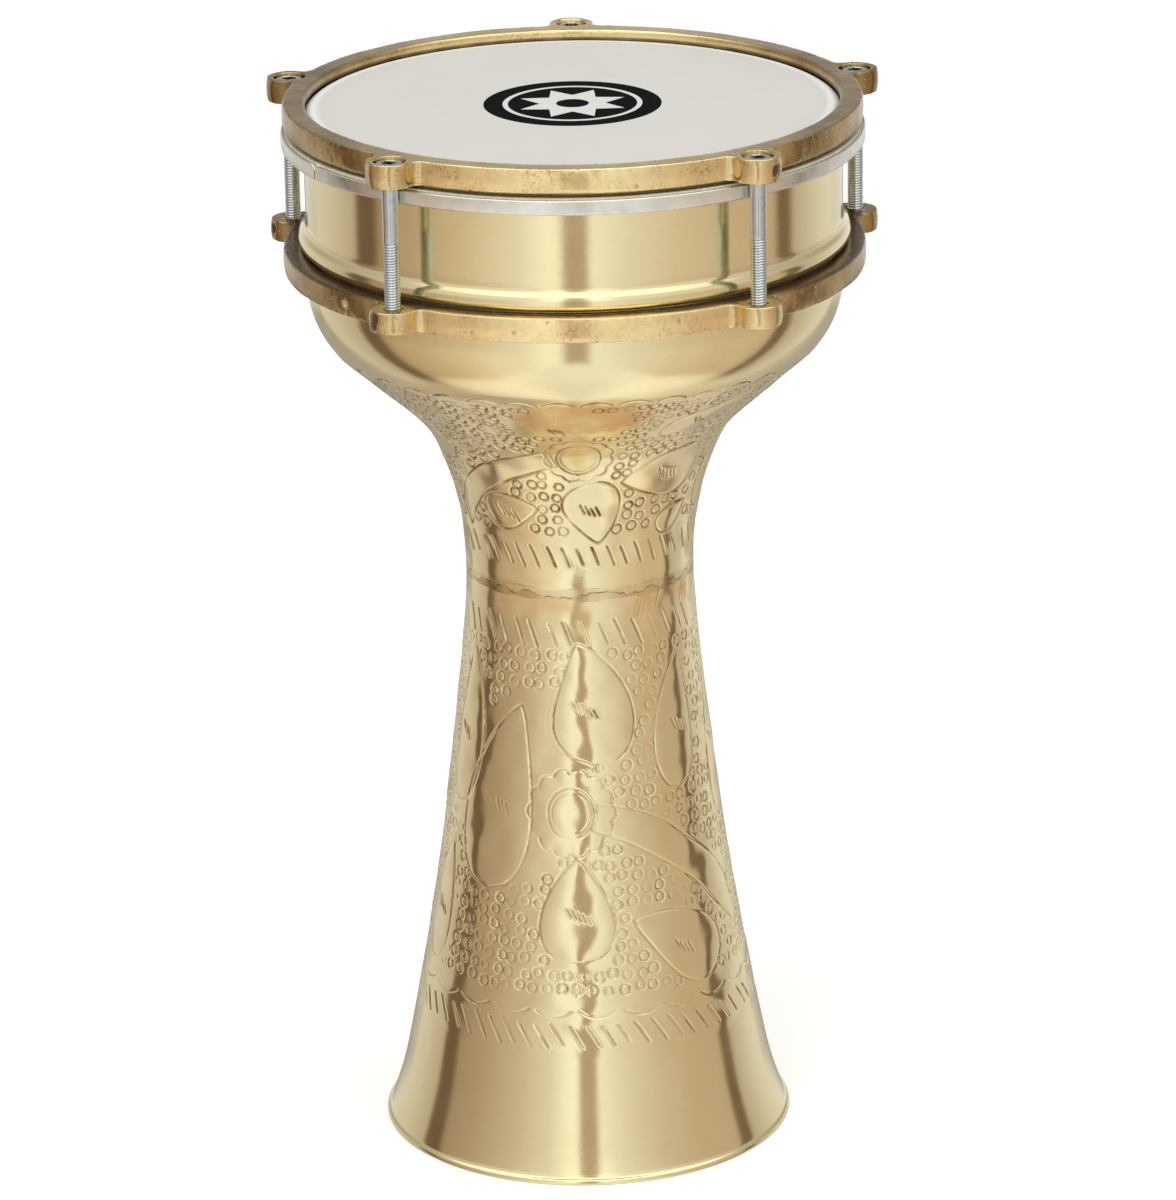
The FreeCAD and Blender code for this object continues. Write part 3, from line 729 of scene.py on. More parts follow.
def make_drill(place, direction, radius, length):
    """A round bar to cut a hole with, its middle at a place."""
    points = []
    across = Vector(direction).normalized()
    side = across.orthogonal().normalized()
    other = across.cross(side)
    count = 20
    for end in (-length / 2, length / 2):
        for k in range(count):
            turn = 2 * math.pi * k / count
            spoke = side * math.cos(turn) + other * math.sin(turn)
            points.append(tuple(Vector(place) + across * end + spoke * radius))
    ring = np.arange(count)
    after = (ring + 1) % count
    sides = np.stack([ring, after, after + count, ring + count], 1)
    return make_object("drill", np.array(points), [sides, ring[::-1][None], (ring + count)[None]])


def make_casting(node, name, pits, drills, grime_and_shade_zones, middle):
    """A cast ring: the CAD node with soft edges, an uneven, pitted skin and painted shade.

    A pit is a place, a radius and a depth. A zone of painted shade, with grime in it under the bead, is the
    two heights it lies between, how far out it reaches at the front and the back, and how much farther it
    reaches at the sides.
    """
    copy = placed(name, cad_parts[node].data.copy())
    for drill in drills:
        cut = copy.modifiers.new("hole", "BOOLEAN")
        cut.object, cut.operation, cut.solver = drill, "DIFFERENCE", "EXACT"
    remesh = copy.modifiers.new("remesh", "REMESH")
    remesh.mode, remesh.voxel_size = "VOXEL", 0.62 * MM
    soften = copy.modifiers.new("soften", "SMOOTH")
    soften.factor, soften.iterations = 0.5, 6
    mesh = applied_mesh(copy)
    for unwanted in [*drills, copy]:
        bpy.data.objects.remove(unwanted)
    count = len(mesh.vertices)
    place, normal = np.zeros(3 * count), np.zeros(3 * count)
    mesh.vertices.foreach_get("co", place)
    mesh.vertices.foreach_get("normal", normal)
    place, normal = place.reshape(-1, 3) / MM, normal.reshape(-1, 3)
    move = 0.14 * grain(place, 11.0, 1) + 0.04 * grain(place, 3.2, 2)
    sunk = np.zeros(count)
    for centre, radius, depth in pits:
        distance = np.linalg.norm(place - np.array(centre), axis=1)
        sunk = np.maximum(sunk, depth * np.exp(-((distance / radius) ** 4)))
    small = grain(place, 1.5, 5)
    sunk = np.maximum(sunk, np.clip(small - 0.56, 0, 1) * 1.2 * (grain(place, 14.0, 8) > -0.1))
    dark = np.clip(sunk / 0.5, 0, 1)
    radius = np.hypot(place[:, 0], place[:, 1])
    sideways = np.abs(place[:, 0]) / radius
    # Painted shade: dark where parts meet, reaching farther at the drum's left and right.
    for low, high, reach_out, more_aside in grime_and_shade_zones:
        edge = reach_out + 0.6 * grain(place, 6.0, 9) + more_aside * np.clip(sideways - 0.2, 0, 1)
        in_shade_zone = (place[:, 2] > low) & (place[:, 2] < high)
        dark = np.maximum(dark, in_shade_zone * 0.95 / (1 + np.exp((radius - edge) * 3)))
    aside = np.clip((sideways - 0.42) / 0.45, 0, 1)
    # Painted shade: upward faces darker, more so at the drum's left and right.
    facing_up = np.clip((normal[:, 2] - 0.55) * 4, 0, 1)
    dark = np.maximum(dark, (0.1 + 0.28 * aside) * facing_up * (0.6 + 0.4 * grain(place, 7.0, 4)))
    # Painted shade: the flanks at the drum's left and right turn dark brown.
    side_shade = aside * (0.85 + 0.3 * grain(place, 12.0, 6))
    outward = np.clip((normal[:, :2] * place[:, :2]).sum(1) / radius * 2 - 0.6, 0, 1)
    move -= 0.42 * outward * ((place[:, 2] - middle) / RING_HALF_HEIGHT) ** 2
    place = place + normal * (move - sunk)[:, None]
    mesh.vertices.foreach_set("co", (place * MM).ravel())
    add_numbers(mesh, "groove", dark)
    add_numbers(mesh, "stain_and_painted_light", side_shade)
    mesh.materials.clear()
    mesh.update()
    mesh.polygons.foreach_set("use_smooth", np.ones(len(mesh.polygons), bool))
    return placed(name, mesh)


def polar(degrees, radius, height):
    """A point from its angle in degrees, its radius and its height."""
    turn = math.radians(degrees)
    return (radius * math.cos(turn), radius * math.sin(turn), height)


def lug_side(lug, side, height):
    """A point on a lug's flank: side is the angle in degrees, seen from the lug's centre."""
    centre, spoke = polar(lug, BOLT_CIRCLE, height), polar(side, LUG_RADIUS, height)
    return (centre[0] + spoke[0], centre[1] + spoke[1], height)


def make_rings():
    """The tension ring and the lower ring."""
    top_pits = [
        (lug_side(306, 322, 395.6), 1.9, 1.5),
        (lug_side(306, 318, 394.2), 1.2, 1.0),
        (polar(228, 106.2, 394), 0.9, 0.35),
        (polar(247, 106.2, 396), 0.7, 0.3),
        (polar(282, 106.2, 393), 0.8, 0.3),
    ]
    low_pits = [
        (lug_side(234, 216, 343.5), 2.0, 1.7),
        (lug_side(234, 212, 340.8), 1.8, 1.6),
        (lug_side(162, 206, 342.7), 1.9, 1.4),
        (polar(290, 107.2, 343.2), 0.8, 0.3),
        (polar(258, 107.2, 341.2), 0.7, 0.3),
    ]
    drill = make_drill(polar(219.5, 107.0, LOWER_RING_MIDDLE), polar(219.5, 1, 0), 1.35, 3.4)
    # Zones of painted shade: inside the lip, round the skirt where it sits in the hoop, and on the lower
    # ring's top under the bead, where there is grime too.
    lip_shade, skirt_shade = (394, 397.2, 98.3, 0), (385, 390.7, 108, 0)
    shade_under_bead = (LOWER_RING_TOP - 0.8, LOWER_RING_TOP + 1, 100.9, 12.0)
    top = make_casting("top_ring", "top_ring_cast", top_pits, [], [lip_shade, skirt_shade], TOP_RING_MIDDLE)
    low = make_casting("lower_ring", "lower_ring_cast", low_pits, [drill], [shade_under_bead], LOWER_RING_MIDDLE)
    return top, low


# ---- bolts, hoop, head


def hex_radius(angle, flats):
    """A hexagon's radius at each angle, from the distance between its flats."""
    return flats / 2 / np.cos((angle + math.pi / 6) % (math.pi / 3) - math.pi / 6)


def make_bolt(name, lug):
    """A socket-head bolt: a right-hand thread on its lower half, a plain shank, and a six-sided socket."""
    angle = angles_round(36)
    loft = Loft()

    def ring(radius, height):
        loft.add(on_circle(radius, angle, height))

    head = [
        (HEAD_RADIUS - 0.35, BOLT_SEAT),
        (HEAD_RADIUS, BOLT_SEAT + 0.35),
        (HEAD_RADIUS, HEAD_TOP - 0.7),
        (HEAD_RADIUS - 0.2, HEAD_TOP - 0.25),
        (HEAD_RADIUS - 0.6, HEAD_TOP),
    ]
    loft.add(np.array([[0, 0, BOLT_TIP]]))
    ring(BOLT_RADIUS - 0.8, BOLT_TIP)
    rows = int((BOLT_SHANK_START - BOLT_TIP - 0.4) / THREAD_PITCH * 9)
    for i in range(rows + 1):
        height = BOLT_TIP + 0.4 + i * THREAD_PITCH / 9
        phase = (height / THREAD_PITCH - angle / (2 * math.pi)) % 1
        valley = np.clip(1 - np.abs(phase - 0.5) / 0.42, 0, 1) ** 0.9
        depth = THREAD_DEPTH * min(1.0, (BOLT_SHANK_START - height) / 1.2)
        start = min(1.0, (height - BOLT_TIP) / 1.4)
        ring(BOLT_RADIUS - 0.45 * (1 - start) - depth * valley * start, height)
    ring(BOLT_RADIUS, BOLT_SHANK_START + 0.2)
    for height in np.linspace(BOLT_SHANK_START + 2, BOLT_SEAT, 8):
        ring(BOLT_RADIUS, height)
    for radius, height in head:
        ring(radius, height)
    socket = hex_radius(angle, SOCKET_FLATS)
    ring(socket + 0.22, HEAD_TOP)
    ring(socket, HEAD_TOP - 0.22)
    ring(socket, HEAD_TOP - SOCKET_DEPTH)
    ring(socket * 0.5, HEAD_TOP - SOCKET_DEPTH - 0.35)
    loft.add(np.array([[0, 0, HEAD_TOP - SOCKET_DEPTH - 0.6]]))
    c, s, _ = polar(lug * 7, 1, 0)
    turned = np.array([[c, s, 0], [-s, c, 0], [0, 0, 1]])
    loft.points = [points @ turned + np.array(polar(lug, BOLT_CIRCLE, 0)) for points in loft.points]
    return loft.build(name, 38)


def make_hoop():
    """The flesh hoop: a channel rolled from aluminium strip, with rounded corners and a seam."""
    floor, top = HOOP_BOTTOM, HOOP_BOTTOM + HOOP_DEPTH
    section = []
    for x, z, radius, start in (
        (HOOP_OUTER, floor, 1.0, -90),
        (HOOP_OUTER, top - 0.5, 0.7, 0),
        (HOOP_OUTER - HOOP_WALL, top - 0.5, 0.4, 90),
    ):
        inward_x = x - radius if start < 90 else x + radius
        inward_z = z + radius if start < 0 else z - radius
        for degrees in np.linspace(start, start + 90, 5):
            turn = math.radians(degrees)
            section.append((inward_x + radius * math.cos(turn), inward_z + radius * math.sin(turn)))
    inner_wall = HOOP_INNER + 1.0
    section += [(HOOP_OUTER - HOOP_WALL, floor + 1.0), (inner_wall, floor + 1.0), (inner_wall, top)]
    section += [(HOOP_INNER, top), (HOOP_INNER, floor + 0.5), (HOOP_INNER + 0.5, floor)]
    section = np.array(section)
    columns = 360
    gap = math.degrees(0.28 / HOOP_OUTER)
    angles = np.radians(np.linspace(HOOP_SEAM + gap, HOOP_SEAM + 360 - gap, columns))
    angles[1:4] = angles[0] + np.radians([0.15, 0.4, 0.8])
    angles[-4:-1] = angles[-1] - np.radians([0.8, 0.4, 0.15])
    points = []
    for turn in angles:
        from_seam = min(turn - angles[0], angles[-1] - turn) * HOOP_OUTER
        nick = 1.7 * math.exp(-((from_seam / 0.8) ** 2))
        radius, height = section[:, 0], section[:, 1].copy()
        height[height > top - 1.2] -= nick
        radius = radius + 0.03 * math.sin(9 * turn)
        points.append(np.stack([radius * math.cos(turn), radius * math.sin(turn), height], 1))
    around = len(section)
    i, j = np.meshgrid(np.arange(columns - 1), np.arange(around), indexing="ij")
    first, after = i * around + j, i * around + (j + 1) % around
    sides = np.stack([first, first + around, after + around, after], -1).reshape(-1, 4)
    ends = [np.arange(around)[None], (np.arange(around)[::-1] + (columns - 1) * around)[None]]
    return make_object("flesh_hoop_rolled", np.concatenate(points), [sides, *ends], sharp=40)


def make_film():
    """The head: a taut film over the rim, drawn down into the hoop, faintly uneven where it is stretched."""
    columns = 240
    angle = angles_round(columns)
    loft = Loft()
    outline = [(0.0, 0.0)] + [(radius, 0.0) for radius in np.linspace(4, 92, 23)]
    for degrees in range(0, 56, 5):
        outline.append((FILM_BEARING + reach(RIM_BEND, degrees), -rise(RIM_BEND, degrees)))
    last = outline[-1]
    run = np.array([FILM_EDGE[0], FILM_EDGE[1] - FILM_TOP]) - last
    for t in np.linspace(0.15, 1, 8):
        outline.append((last[0] + run[0] * t, last[1] + run[1] * t))
    draw = np.random.default_rng(5)
    for side, rows in ((0, outline), (FILM_THICKNESS, outline[::-1])):
        for radius, drop in rows:
            if radius == 0:
                loft.add(np.array([[0, 0, FILM_TOP - side]]))
                continue
            pull = 0.035 * np.cos(5 * (angle - math.radians(90))) * (radius / FILM_BEARING) ** 6
            ripple = 0.02 * wavy(angle, radius, 6, 5, 18, 60, draw) * (radius > FILM_BEARING)
            down, inward = (side, 0) if radius < FILM_BEARING + 2 else (0, side)
            height = FILM_TOP + drop - down + pull * (radius < FILM_BEARING + 1) * 0.5
            # Painted highlight: the film is paler where it bends over the bearing edge.
            pale = np.full(columns, float(np.clip((radius - 93.6) / 0.8, 0, 1)))
            loft.add(on_circle(radius - inward + ripple, angle, height), None, pale)
    return loft.build("film_head")


def star_outline(points, outer, inner, turn):
    """A star's corners, outer and inner by turns."""
    corners = []
    for k in range(2 * points):
        radius = outer if k % 2 == 0 else inner
        angle = math.pi * k / points + turn
        corners.append((radius * math.cos(angle), radius * math.sin(angle)))
    return corners


def flat_piece(name, loops, height, thickness):
    """A thin flat piece from an outer loop of points and holes in it, as print stands on the film."""
    curve = bpy.data.curves.new(name, "CURVE")
    curve.dimensions, curve.fill_mode = "2D", "BOTH"
    curve.extrude = thickness / 2 * MM
    for loop in loops:
        spline = curve.splines.new("POLY")
        spline.points.add(len(loop) - 1)
        for point, (x, y) in zip(spline.points, loop):
            point.co = (x * MM, y * MM, 0, 1)
        spline.use_cyclic_u = True
    shell = placed(name + "_curve", curve)
    mesh = applied_mesh(shell)
    mesh.transform(Matrix.Translation((0, 0, height * MM)))
    bpy.data.objects.remove(shell)
    return placed(name, mesh)


def circle(radius, count=144):
    """Points round a circle, in the plane of the head."""
    return [polar(360 * k / count, radius, 0)[:2] for k in range(count)]


def make_print():
    """The black disc printed on the head, and on it a ring and an eight-pointed star in the film's white."""
    height, ink_thickness = FILM_TOP + 0.02, 0.03
    disc = flat_piece("head_print_disc", [circle(PRINT_RADIUS)], height, ink_thickness)
    ring = [circle(25.5), circle(23.6)]
    star = [star_outline(8, 20.5, 12.0, math.pi / 8), circle(6.0, 64)]
    lines = []
    for number, loops in enumerate((ring, star), 1):
        lines.append(flat_piece(f"head_print_line_{number}", loops, height + 0.02, ink_thickness))
    return disc, lines


# ---- materials


class Nodes:
    """Short ways to add nodes to a tree. A number, a colour or another node's output can go in any socket."""

    def __init__(self, tree, coordinates):
        self.tree = tree
        self.place = tree.nodes.new("ShaderNodeTexCoord").outputs[coordinates]

    def put(self, socket, value):
        if isinstance(value, bpy.types.NodeSocket):
            self.tree.links.new(value, socket)
        elif isinstance(value, tuple) and len(value) == 3 and socket.type == "RGBA":
            socket.default_value = (*value, 1)
        else:
            socket.default_value = value

    def math(self, operation, a, b=0.0):
        node = self.tree.nodes.new("ShaderNodeMath")
        node.operation = operation
        self.put(node.inputs[0], a)
        self.put(node.inputs[1], b)
        return node.outputs[0]

    def times(self, a, b):
        return self.math("MULTIPLY", a, b)

    def stretched(self, x, y, z):
        """The place, with each direction of it scaled."""
        node = self.tree.nodes.new("ShaderNodeVectorMath")
        node.operation = "MULTIPLY"
        self.put(node.inputs[0], self.place)
        node.inputs[1].default_value = (x, y, z)
        return node.outputs[0]

    def noise(self, scale, detail=3.0, rough=0.5, vector=None):
        node = self.tree.nodes.new("ShaderNodeTexNoise")
        self.put(node.inputs["Vector"], vector or self.place)
        node.inputs["Scale"].default_value = scale
        node.inputs["Detail"].default_value = detail
        node.inputs["Roughness"].default_value = rough
        return node.outputs["Fac"]

    def span(self, value, low, high, new_low=0.0, new_high=1.0):
        """A value between low and high, moved to between new_low and new_high and held there."""
        node = self.tree.nodes.new("ShaderNodeMapRange")
        for socket, number in zip(node.inputs, (value, low, high, new_low, new_high)):
            self.put(socket, number)
        return node.outputs[0]

    def mix(self, factor, a, b):
        node = self.tree.nodes.new("ShaderNodeMix")
        node.data_type = "RGBA"
        self.put(node.inputs[0], factor)
        self.put(node.inputs[6], a)
        self.put(node.inputs[7], b)
        return node.outputs[2]

    def ramp(self, value, stops):
        """Colours between stops, each given as a position and a colour."""
        node = self.tree.nodes.new("ShaderNodeValToRGB")
        self.put(node.inputs[0], value)
        points = node.color_ramp.elements
        while len(points) < len(stops):
            points.new(0.5)
        for point, (position, colour) in zip(points, stops):
            point.position = position
            point.color = (*colour, 1)
        return node.outputs["Color"]

    def number(self, name):
        """A number that each point of the mesh carries."""
        node = self.tree.nodes.new("ShaderNodeAttribute")
        node.attribute_name = name
        return node.outputs["Fac"]

    def bump(self, height, strength, distance, under=None):
        node = self.tree.nodes.new("ShaderNodeBump")
        node.inputs["Strength"].default_value = strength
        node.inputs["Distance"].default_value = distance
        self.put(node.inputs["Height"], height)
        if under:
            self.put(node.inputs["Normal"], under)
        return node.outputs["Normal"]

    def hairlines(self, scale, stretch, width):
        """Thin lines where a stretched noise crosses its middle value."""
        field = self.noise(scale, 1.0, 0.4, self.stretched(*stretch))
        away = self.math("ABSOLUTE", self.math("SUBTRACT", field, 0.5))
        return self.span(away, 0.0, width, 1.0, 0.0)


class Surface(Nodes):
    """A material in the making, in the piece's own coordinates."""

    def __init__(self, name, metallic, roughness):
        self.material = bpy.data.materials.new(name)
        self.material.use_nodes = True
        super().__init__(self.material.node_tree, "Object")
        self.shader = self.tree.nodes["Principled BSDF"]
        self.fix("Metallic", metallic)
        self.fix("Roughness", roughness)

    def fix(self, socket, number):
        """Sets one number for the whole surface on the shader itself."""
        self.shader.inputs[socket].default_value = number

    def finish(self, colour=None, roughness=None, normal=None):
        for socket, value in (("Base Color", colour), ("Roughness", roughness), ("Normal", normal)):
            if value is not None:
                self.put(self.shader.inputs[socket], value)
        return self.material


def sheet_brass():
    """Polished sheet: brushed round the drum, with faint tarnish, brown in the cuts with dirt and painted
    shade, brown at the waist, painted shade under the bead and a painted reflection on the neck.
    """
    s = Surface("shell_brass_polished", 1.0, 0.16)
    s.fix("Anisotropic", 0.6)
    s.fix("Anisotropic Rotation", 0.25)
    tangent = s.tree.nodes.new("ShaderNodeTangent")
    tangent.direction_type, tangent.axis = "RADIAL", "Z"
    s.put(s.shader.inputs["Tangent"], tangent.outputs[0])
    clouds = s.span(s.noise(38, 5, 0.6), 0.42, 0.72)
    flecks = s.span(s.noise(900, 2, 0.5), 0.66, 0.76)
    groove = s.span(s.number("groove"), 0.12, 0.8)
    streaks = s.span(s.noise(60, 4, 0.6, s.stretched(1.0, 1.0, 0.22)), 0.32, 0.55, 0.35, 1.0)
    stain_and_painted_light = s.times(s.number("stain_and_painted_light"), streaks)
    colour = s.mix(s.times(clouds, 0.3), (0.88, 0.795, 0.475), (0.82, 0.68, 0.37))
    colour = s.mix(s.times(flecks, 0.3), colour, (0.60, 0.46, 0.24))
    # Real stains, painted shade under the bead and a painted reflection on the neck.
    colour = s.mix(s.times(stain_and_painted_light, 0.9), colour, (0.56, 0.27, 0.075))
    # Dirt and painted shade in the cuts, and painted shade under the bead.
    colour = s.mix(s.times(groove, 0.68), colour, (0.22, 0.125, 0.045))
    s.put(s.shader.inputs["Metallic"], s.math("SUBTRACT", 1.0, s.times(stain_and_painted_light, 0.5)))
    rough = s.math("ADD", s.span(s.noise(70, 4, 0.6), 0.3, 0.7, 0.10, 0.15), s.times(stain_and_painted_light, 0.14))
    rough = s.math("ADD", rough, s.times(groove, 0.05))
    brushed = s.noise(1.0, 3, 0.65, s.stretched(130, 130, 2200))
    normal = s.bump(brushed, 0.35, 0.00004)
    across, slanting = s.hairlines(30, (0.4, 0.4, 2.6), 0.003), s.hairlines(26, (0.7, 0.5, 2.0), 0.003)
    lines = s.math("MAXIMUM", across, slanting)
    normal = s.bump(lines, 0.10, 0.00004, normal)
    return s.finish(colour, rough, normal)


def cast_brass():
    """Antiqued casting: brown in its pores, bright where it is rubbed, with a sandy skin, and painted shade
    at the drum's left and right, on upward faces and where parts meet.
    """
    s = Surface("cast_brass_antiqued_painted_shade", 1.0, 0.34)
    speckle = s.span(s.noise(1100, 4, 0.7), 0.50, 0.64)
    patches = s.span(s.noise(90, 5, 0.65), 0.46, 0.66)
    dark = s.times(speckle, patches)
    colour = s.mix(s.span(s.noise(45, 4, 0.6), 0.35, 0.7), (0.96, 0.79, 0.42), (0.83, 0.64, 0.31))
    # Painted shade: dark brown on the flanks at the drum's left and right.
    colour = s.mix(s.times(s.number("stain_and_painted_light"), 0.92), colour, (0.27, 0.17, 0.06))
    colour = s.mix(s.times(dark, 0.7), colour, (0.26, 0.15, 0.06))
    colour = s.mix(s.span(s.noise(1500, 2, 0.5), 0.64, 0.72), colour, (0.92, 0.80, 0.50))
    # Near black in pits and pores, with grime under the bead, and painted shade where parts meet, inside the
    # lip, under the bead and on upward faces.
    colour = s.mix(s.times(s.number("groove"), 0.93), colour, (0.06, 0.022, 0.008))
    s.put(s.shader.inputs["Metallic"], s.math("SUBTRACT", 1.0, s.times(s.number("groove"), 0.5)))
    rough = s.span(s.noise(260, 4, 0.6), 0.3, 0.7, 0.14, 0.25)
    normal = s.bump(s.noise(1300, 4, 0.65), 0.13, 0.00016)
    normal = s.bump(s.noise(330, 3, 0.5), 0.12, 0.0004, normal)
    return s.finish(colour, rough, normal)


def braze():
    """The brazed joint: brass a shade duller than the sheet, brown below its dark seam."""
    s = Surface("braze_metal", 1.0, 0.2)
    tint = s.span(s.noise(300, 4, 0.65), 0.35, 0.65)
    colour = s.mix(tint, (0.86, 0.765, 0.465), (0.78, 0.65, 0.365))
    colour = s.mix(s.times(s.number("stain_and_painted_light"), 0.8), colour, (0.52, 0.31, 0.13))
    colour = s.mix(s.times(s.number("groove"), 0.9), colour, (0.09, 0.04, 0.015))
    normal = s.bump(s.noise(1500, 3, 0.6), 0.12, 0.00006)
    return s.finish(colour, s.span(tint, 0, 1, 0.16, 0.24), normal)


def aluminium():
    """Rolled strip, marked along its length."""
    s = Surface("hoop_aluminium_rolled", 1.0, 0.30)
    along = s.noise(1.0, 4, 0.6, s.stretched(90, 90, 3800))
    marks = s.span(s.noise(160, 5, 0.65), 0.45, 0.7)
    colour = s.mix(s.times(marks, 0.5), (0.84, 0.85, 0.78), (0.63, 0.645, 0.585))
    rough = s.span(s.noise(220, 4, 0.6), 0.3, 0.7, 0.22, 0.36)
    return s.finish(colour, rough, s.bump(along, 0.16, 0.00006))


def zinc():
    """Bright plating with faint grey spots."""
    s = Surface("zinc_steel_plate", 1.0, 0.22)
    spots = s.span(s.noise(420, 4, 0.6), 0.45, 0.7)
    colour = s.mix(s.times(spots, 0.4), (0.58, 0.63, 0.64), (0.36, 0.42, 0.43))
    rough = s.span(s.noise(300, 3, 0.6), 0.3, 0.7, 0.07, 0.15)
    return s.finish(colour, rough, s.bump(s.noise(900, 2, 0.5), 0.04, 0.00005))


def film_white():
    """Plastic film: off-white, paler where it is drawn over the rim, as a painted highlight."""
    s = Surface("film_white", 0.0, 0.42)
    tone = s.span(s.noise(22, 4, 0.55), 0.3, 0.7)
    colour = s.mix(tone, (0.595, 0.583, 0.54), (0.615, 0.605, 0.56))
    # Painted highlight: paler over the rim.
    colour = s.mix(s.number("stain_and_painted_light"), colour, (0.80, 0.80, 0.77))
    s.fix("Specular IOR Level", 0.25)
    fine = s.noise(1500, 3, 0.55)
    return s.finish(colour, s.span(s.noise(130, 4, 0.6), 0.3, 0.7, 0.40, 0.50), s.bump(fine, 0.05, 0.00004))


def ink(name, dark, light, roughness):
    """Print on the film, matt and hardly uneven."""
    s = Surface(name, 0.0, roughness)
    s.fix("Specular IOR Level", 0.02)
    tone = s.span(s.noise(900, 3, 0.6), 0.35, 0.65)
    colour, rough = s.mix(tone, dark, light), s.span(tone, 0, 1, roughness, roughness + 0.08)
    return s.finish(colour, rough, s.bump(tone, 0.04, 0.00003))


def resin():
    """Set resin, cloudy and yellowish."""
    s = Surface("resin_set", 0.0, 0.25)
    tone = s.span(s.noise(240, 4, 0.6), 0.35, 0.65)
    s.fix("Subsurface Weight", 0.1)
    return s.finish(s.mix(tone, (0.66, 0.58, 0.42), (0.74, 0.68, 0.54)), 0.25, s.bump(tone, 0.1, 0.0002))


# ---- the drum


def dress(piece, material, body, slot, *nodes):
    """Gives a piece its material, the body it rides on and the CAD nodes it stands for; slot is not used."""
    piece.data.materials.clear()
    piece.data.materials.append(material)
    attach(piece, body)
    if nodes:
        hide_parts(*nodes)


brass = sheet_brass()
cast = cast_brass()
plated = zinc()
dress(make_bowl(), brass, "shell", "shell_brass", "bowl_shell")
dress(make_foot(), brass, "shell", "shell_brass", "foot_shell")
dress(make_braze(), braze(), "shell", "braze", "waist_braze")
top_cast, low_cast = make_rings()
dress(top_cast, cast, "tension_ring", "cast_brass", "top_ring")
dress(low_cast, cast, "shell", "cast_brass", "lower_ring")
dress(make_hoop(), aluminium(), "shell", "hoop_aluminium", "flesh_hoop")
dress(make_film(), film_white(), "shell", "film", "drumhead")
disc, lines = make_print()
dress(disc, ink("print_black", (0.0015, 0.0015, 0.002), (0.004, 0.004, 0.0045), 0.6), "shell", "film")
print_white = ink("print_white", (0.60, 0.59, 0.56), (0.66, 0.65, 0.62), 0.5)
for line in lines:
    dress(line, print_white, "shell", "film")
for number, lug in enumerate(LUG_ANGLES, 1):
    bolt = make_bolt(f"bolt_{number}_threaded", lug)
    dress(bolt, plated, f"bolt_{number}", "zinc_steel", f"tension_bolt_{number}")
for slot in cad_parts["hoop_resin"].material_slots:
    slot.material = resin()


# ---- floor, light and camera


def make_floor():
    """A plain pale floor, wide enough to meet the horizon in every view."""
    side = 30000.0
    corners = np.array([[-side, -side, 0], [side, -side, 0], [side, side, 0], [-side, side, 0]])
    floor = make_object("floor", corners, [np.array([[0, 1, 2, 3]])])
    s = Surface("floor_pale", 0.0, 0.9)
    s.fix("Specular IOR Level", 0.0)
    s.fix("Emission Color", (1, 1, 1, 1))
    s.fix("Emission Strength", 0.16)
    tone = s.noise(3, 3, 0.5)
    floor.data.materials.append(s.finish(s.mix(tone, (0.93, 0.93, 0.925), (0.95, 0.95, 0.945))))
    floor.visible_glossy = False


# What the studio shows to polished metal, from behind on the left round the front to behind on the right:
# degrees from the front, brightness and warmth. Level with the drum, below it, steeply below it and above it.
STUDIO_LEVEL = [
    (-180, 0.86, 0.0), (-128, 0.68, 0.3), (-112, 0.56, 0.5), (-108, 0.54, 0.6), (-105, 0.17, 1.4),
    (-95, 0.17, 1.4), (-91, 0.40, 1.1), (-70, 0.49, 1.0), (-45, 0.64, 0.7), (-24, 0.82, 0.25),
    (-13, 1.06, 0.0), (-6.5, 1.10, 0.0), (-4.5, 0.52, 1.0), (4.5, 0.52, 1.0), (6.5, 1.04, 0.0),
    (14, 0.92, 0.0), (26, 0.80, 0.25), (45, 0.68, 0.6), (70, 0.59, 0.9), (94, 0.57, 0.9),
    (97, 0.20, 1.4), (104, 0.20, 1.4), (107, 0.54, 0.5), (116, 0.62, 0.35), (130, 0.76, 0.2),
    (180, 0.94, 0.0),
]
STUDIO_BELOW = [
    (-180, 0.38, 0.4), (-140, 0.44, 0.4), (-122, 0.66, 0.3), (-107, 0.62, 0.4), (-103, 0.26, 1.3),
    (-97, 0.26, 1.3), (-92, 0.66, 0.8), (-60, 0.73, 0.6), (-25, 0.91, 0.2), (0, 0.98, 0.0),
    (30, 0.92, 0.1), (65, 0.86, 0.3), (90, 0.76, 0.5), (97, 0.40, 1.1), (103, 0.40, 1.1),
    (110, 0.74, 0.3), (126, 0.68, 0.3), (146, 0.48, 0.4), (180, 0.38, 0.4),
]
STUDIO_STEEP = [
    (-180, 0.78, 0.3), (-150, 0.66, 0.5), (-134, 0.44, 0.8), (-111, 0.56, 0.7), (-89, 0.69, 0.5),
    (-54, 0.83, 0.3), (0, 0.90, 0.1), (47, 0.94, 0.1), (87, 0.86, 0.3), (117, 0.78, 0.5),
    (136, 0.56, 0.7), (150, 0.70, 0.4), (180, 0.78, 0.3),
]
STUDIO_ABOVE = [
    (-180, 0.42, 0.2), (-120, 0.48, 0.2), (-60, 0.80, 0.3), (-20, 0.92, 0.0), (-10, 1.35, 0.0),
    (-6, 1.35, 0.0), (-4, 0.60, 0.8), (4, 0.60, 0.8), (6, 1.35, 0.0), (10, 1.35, 0.0), (20, 0.92, 0.0),
    (60, 0.80, 0.3), (120, 0.48, 0.2), (180, 0.42, 0.2),
]


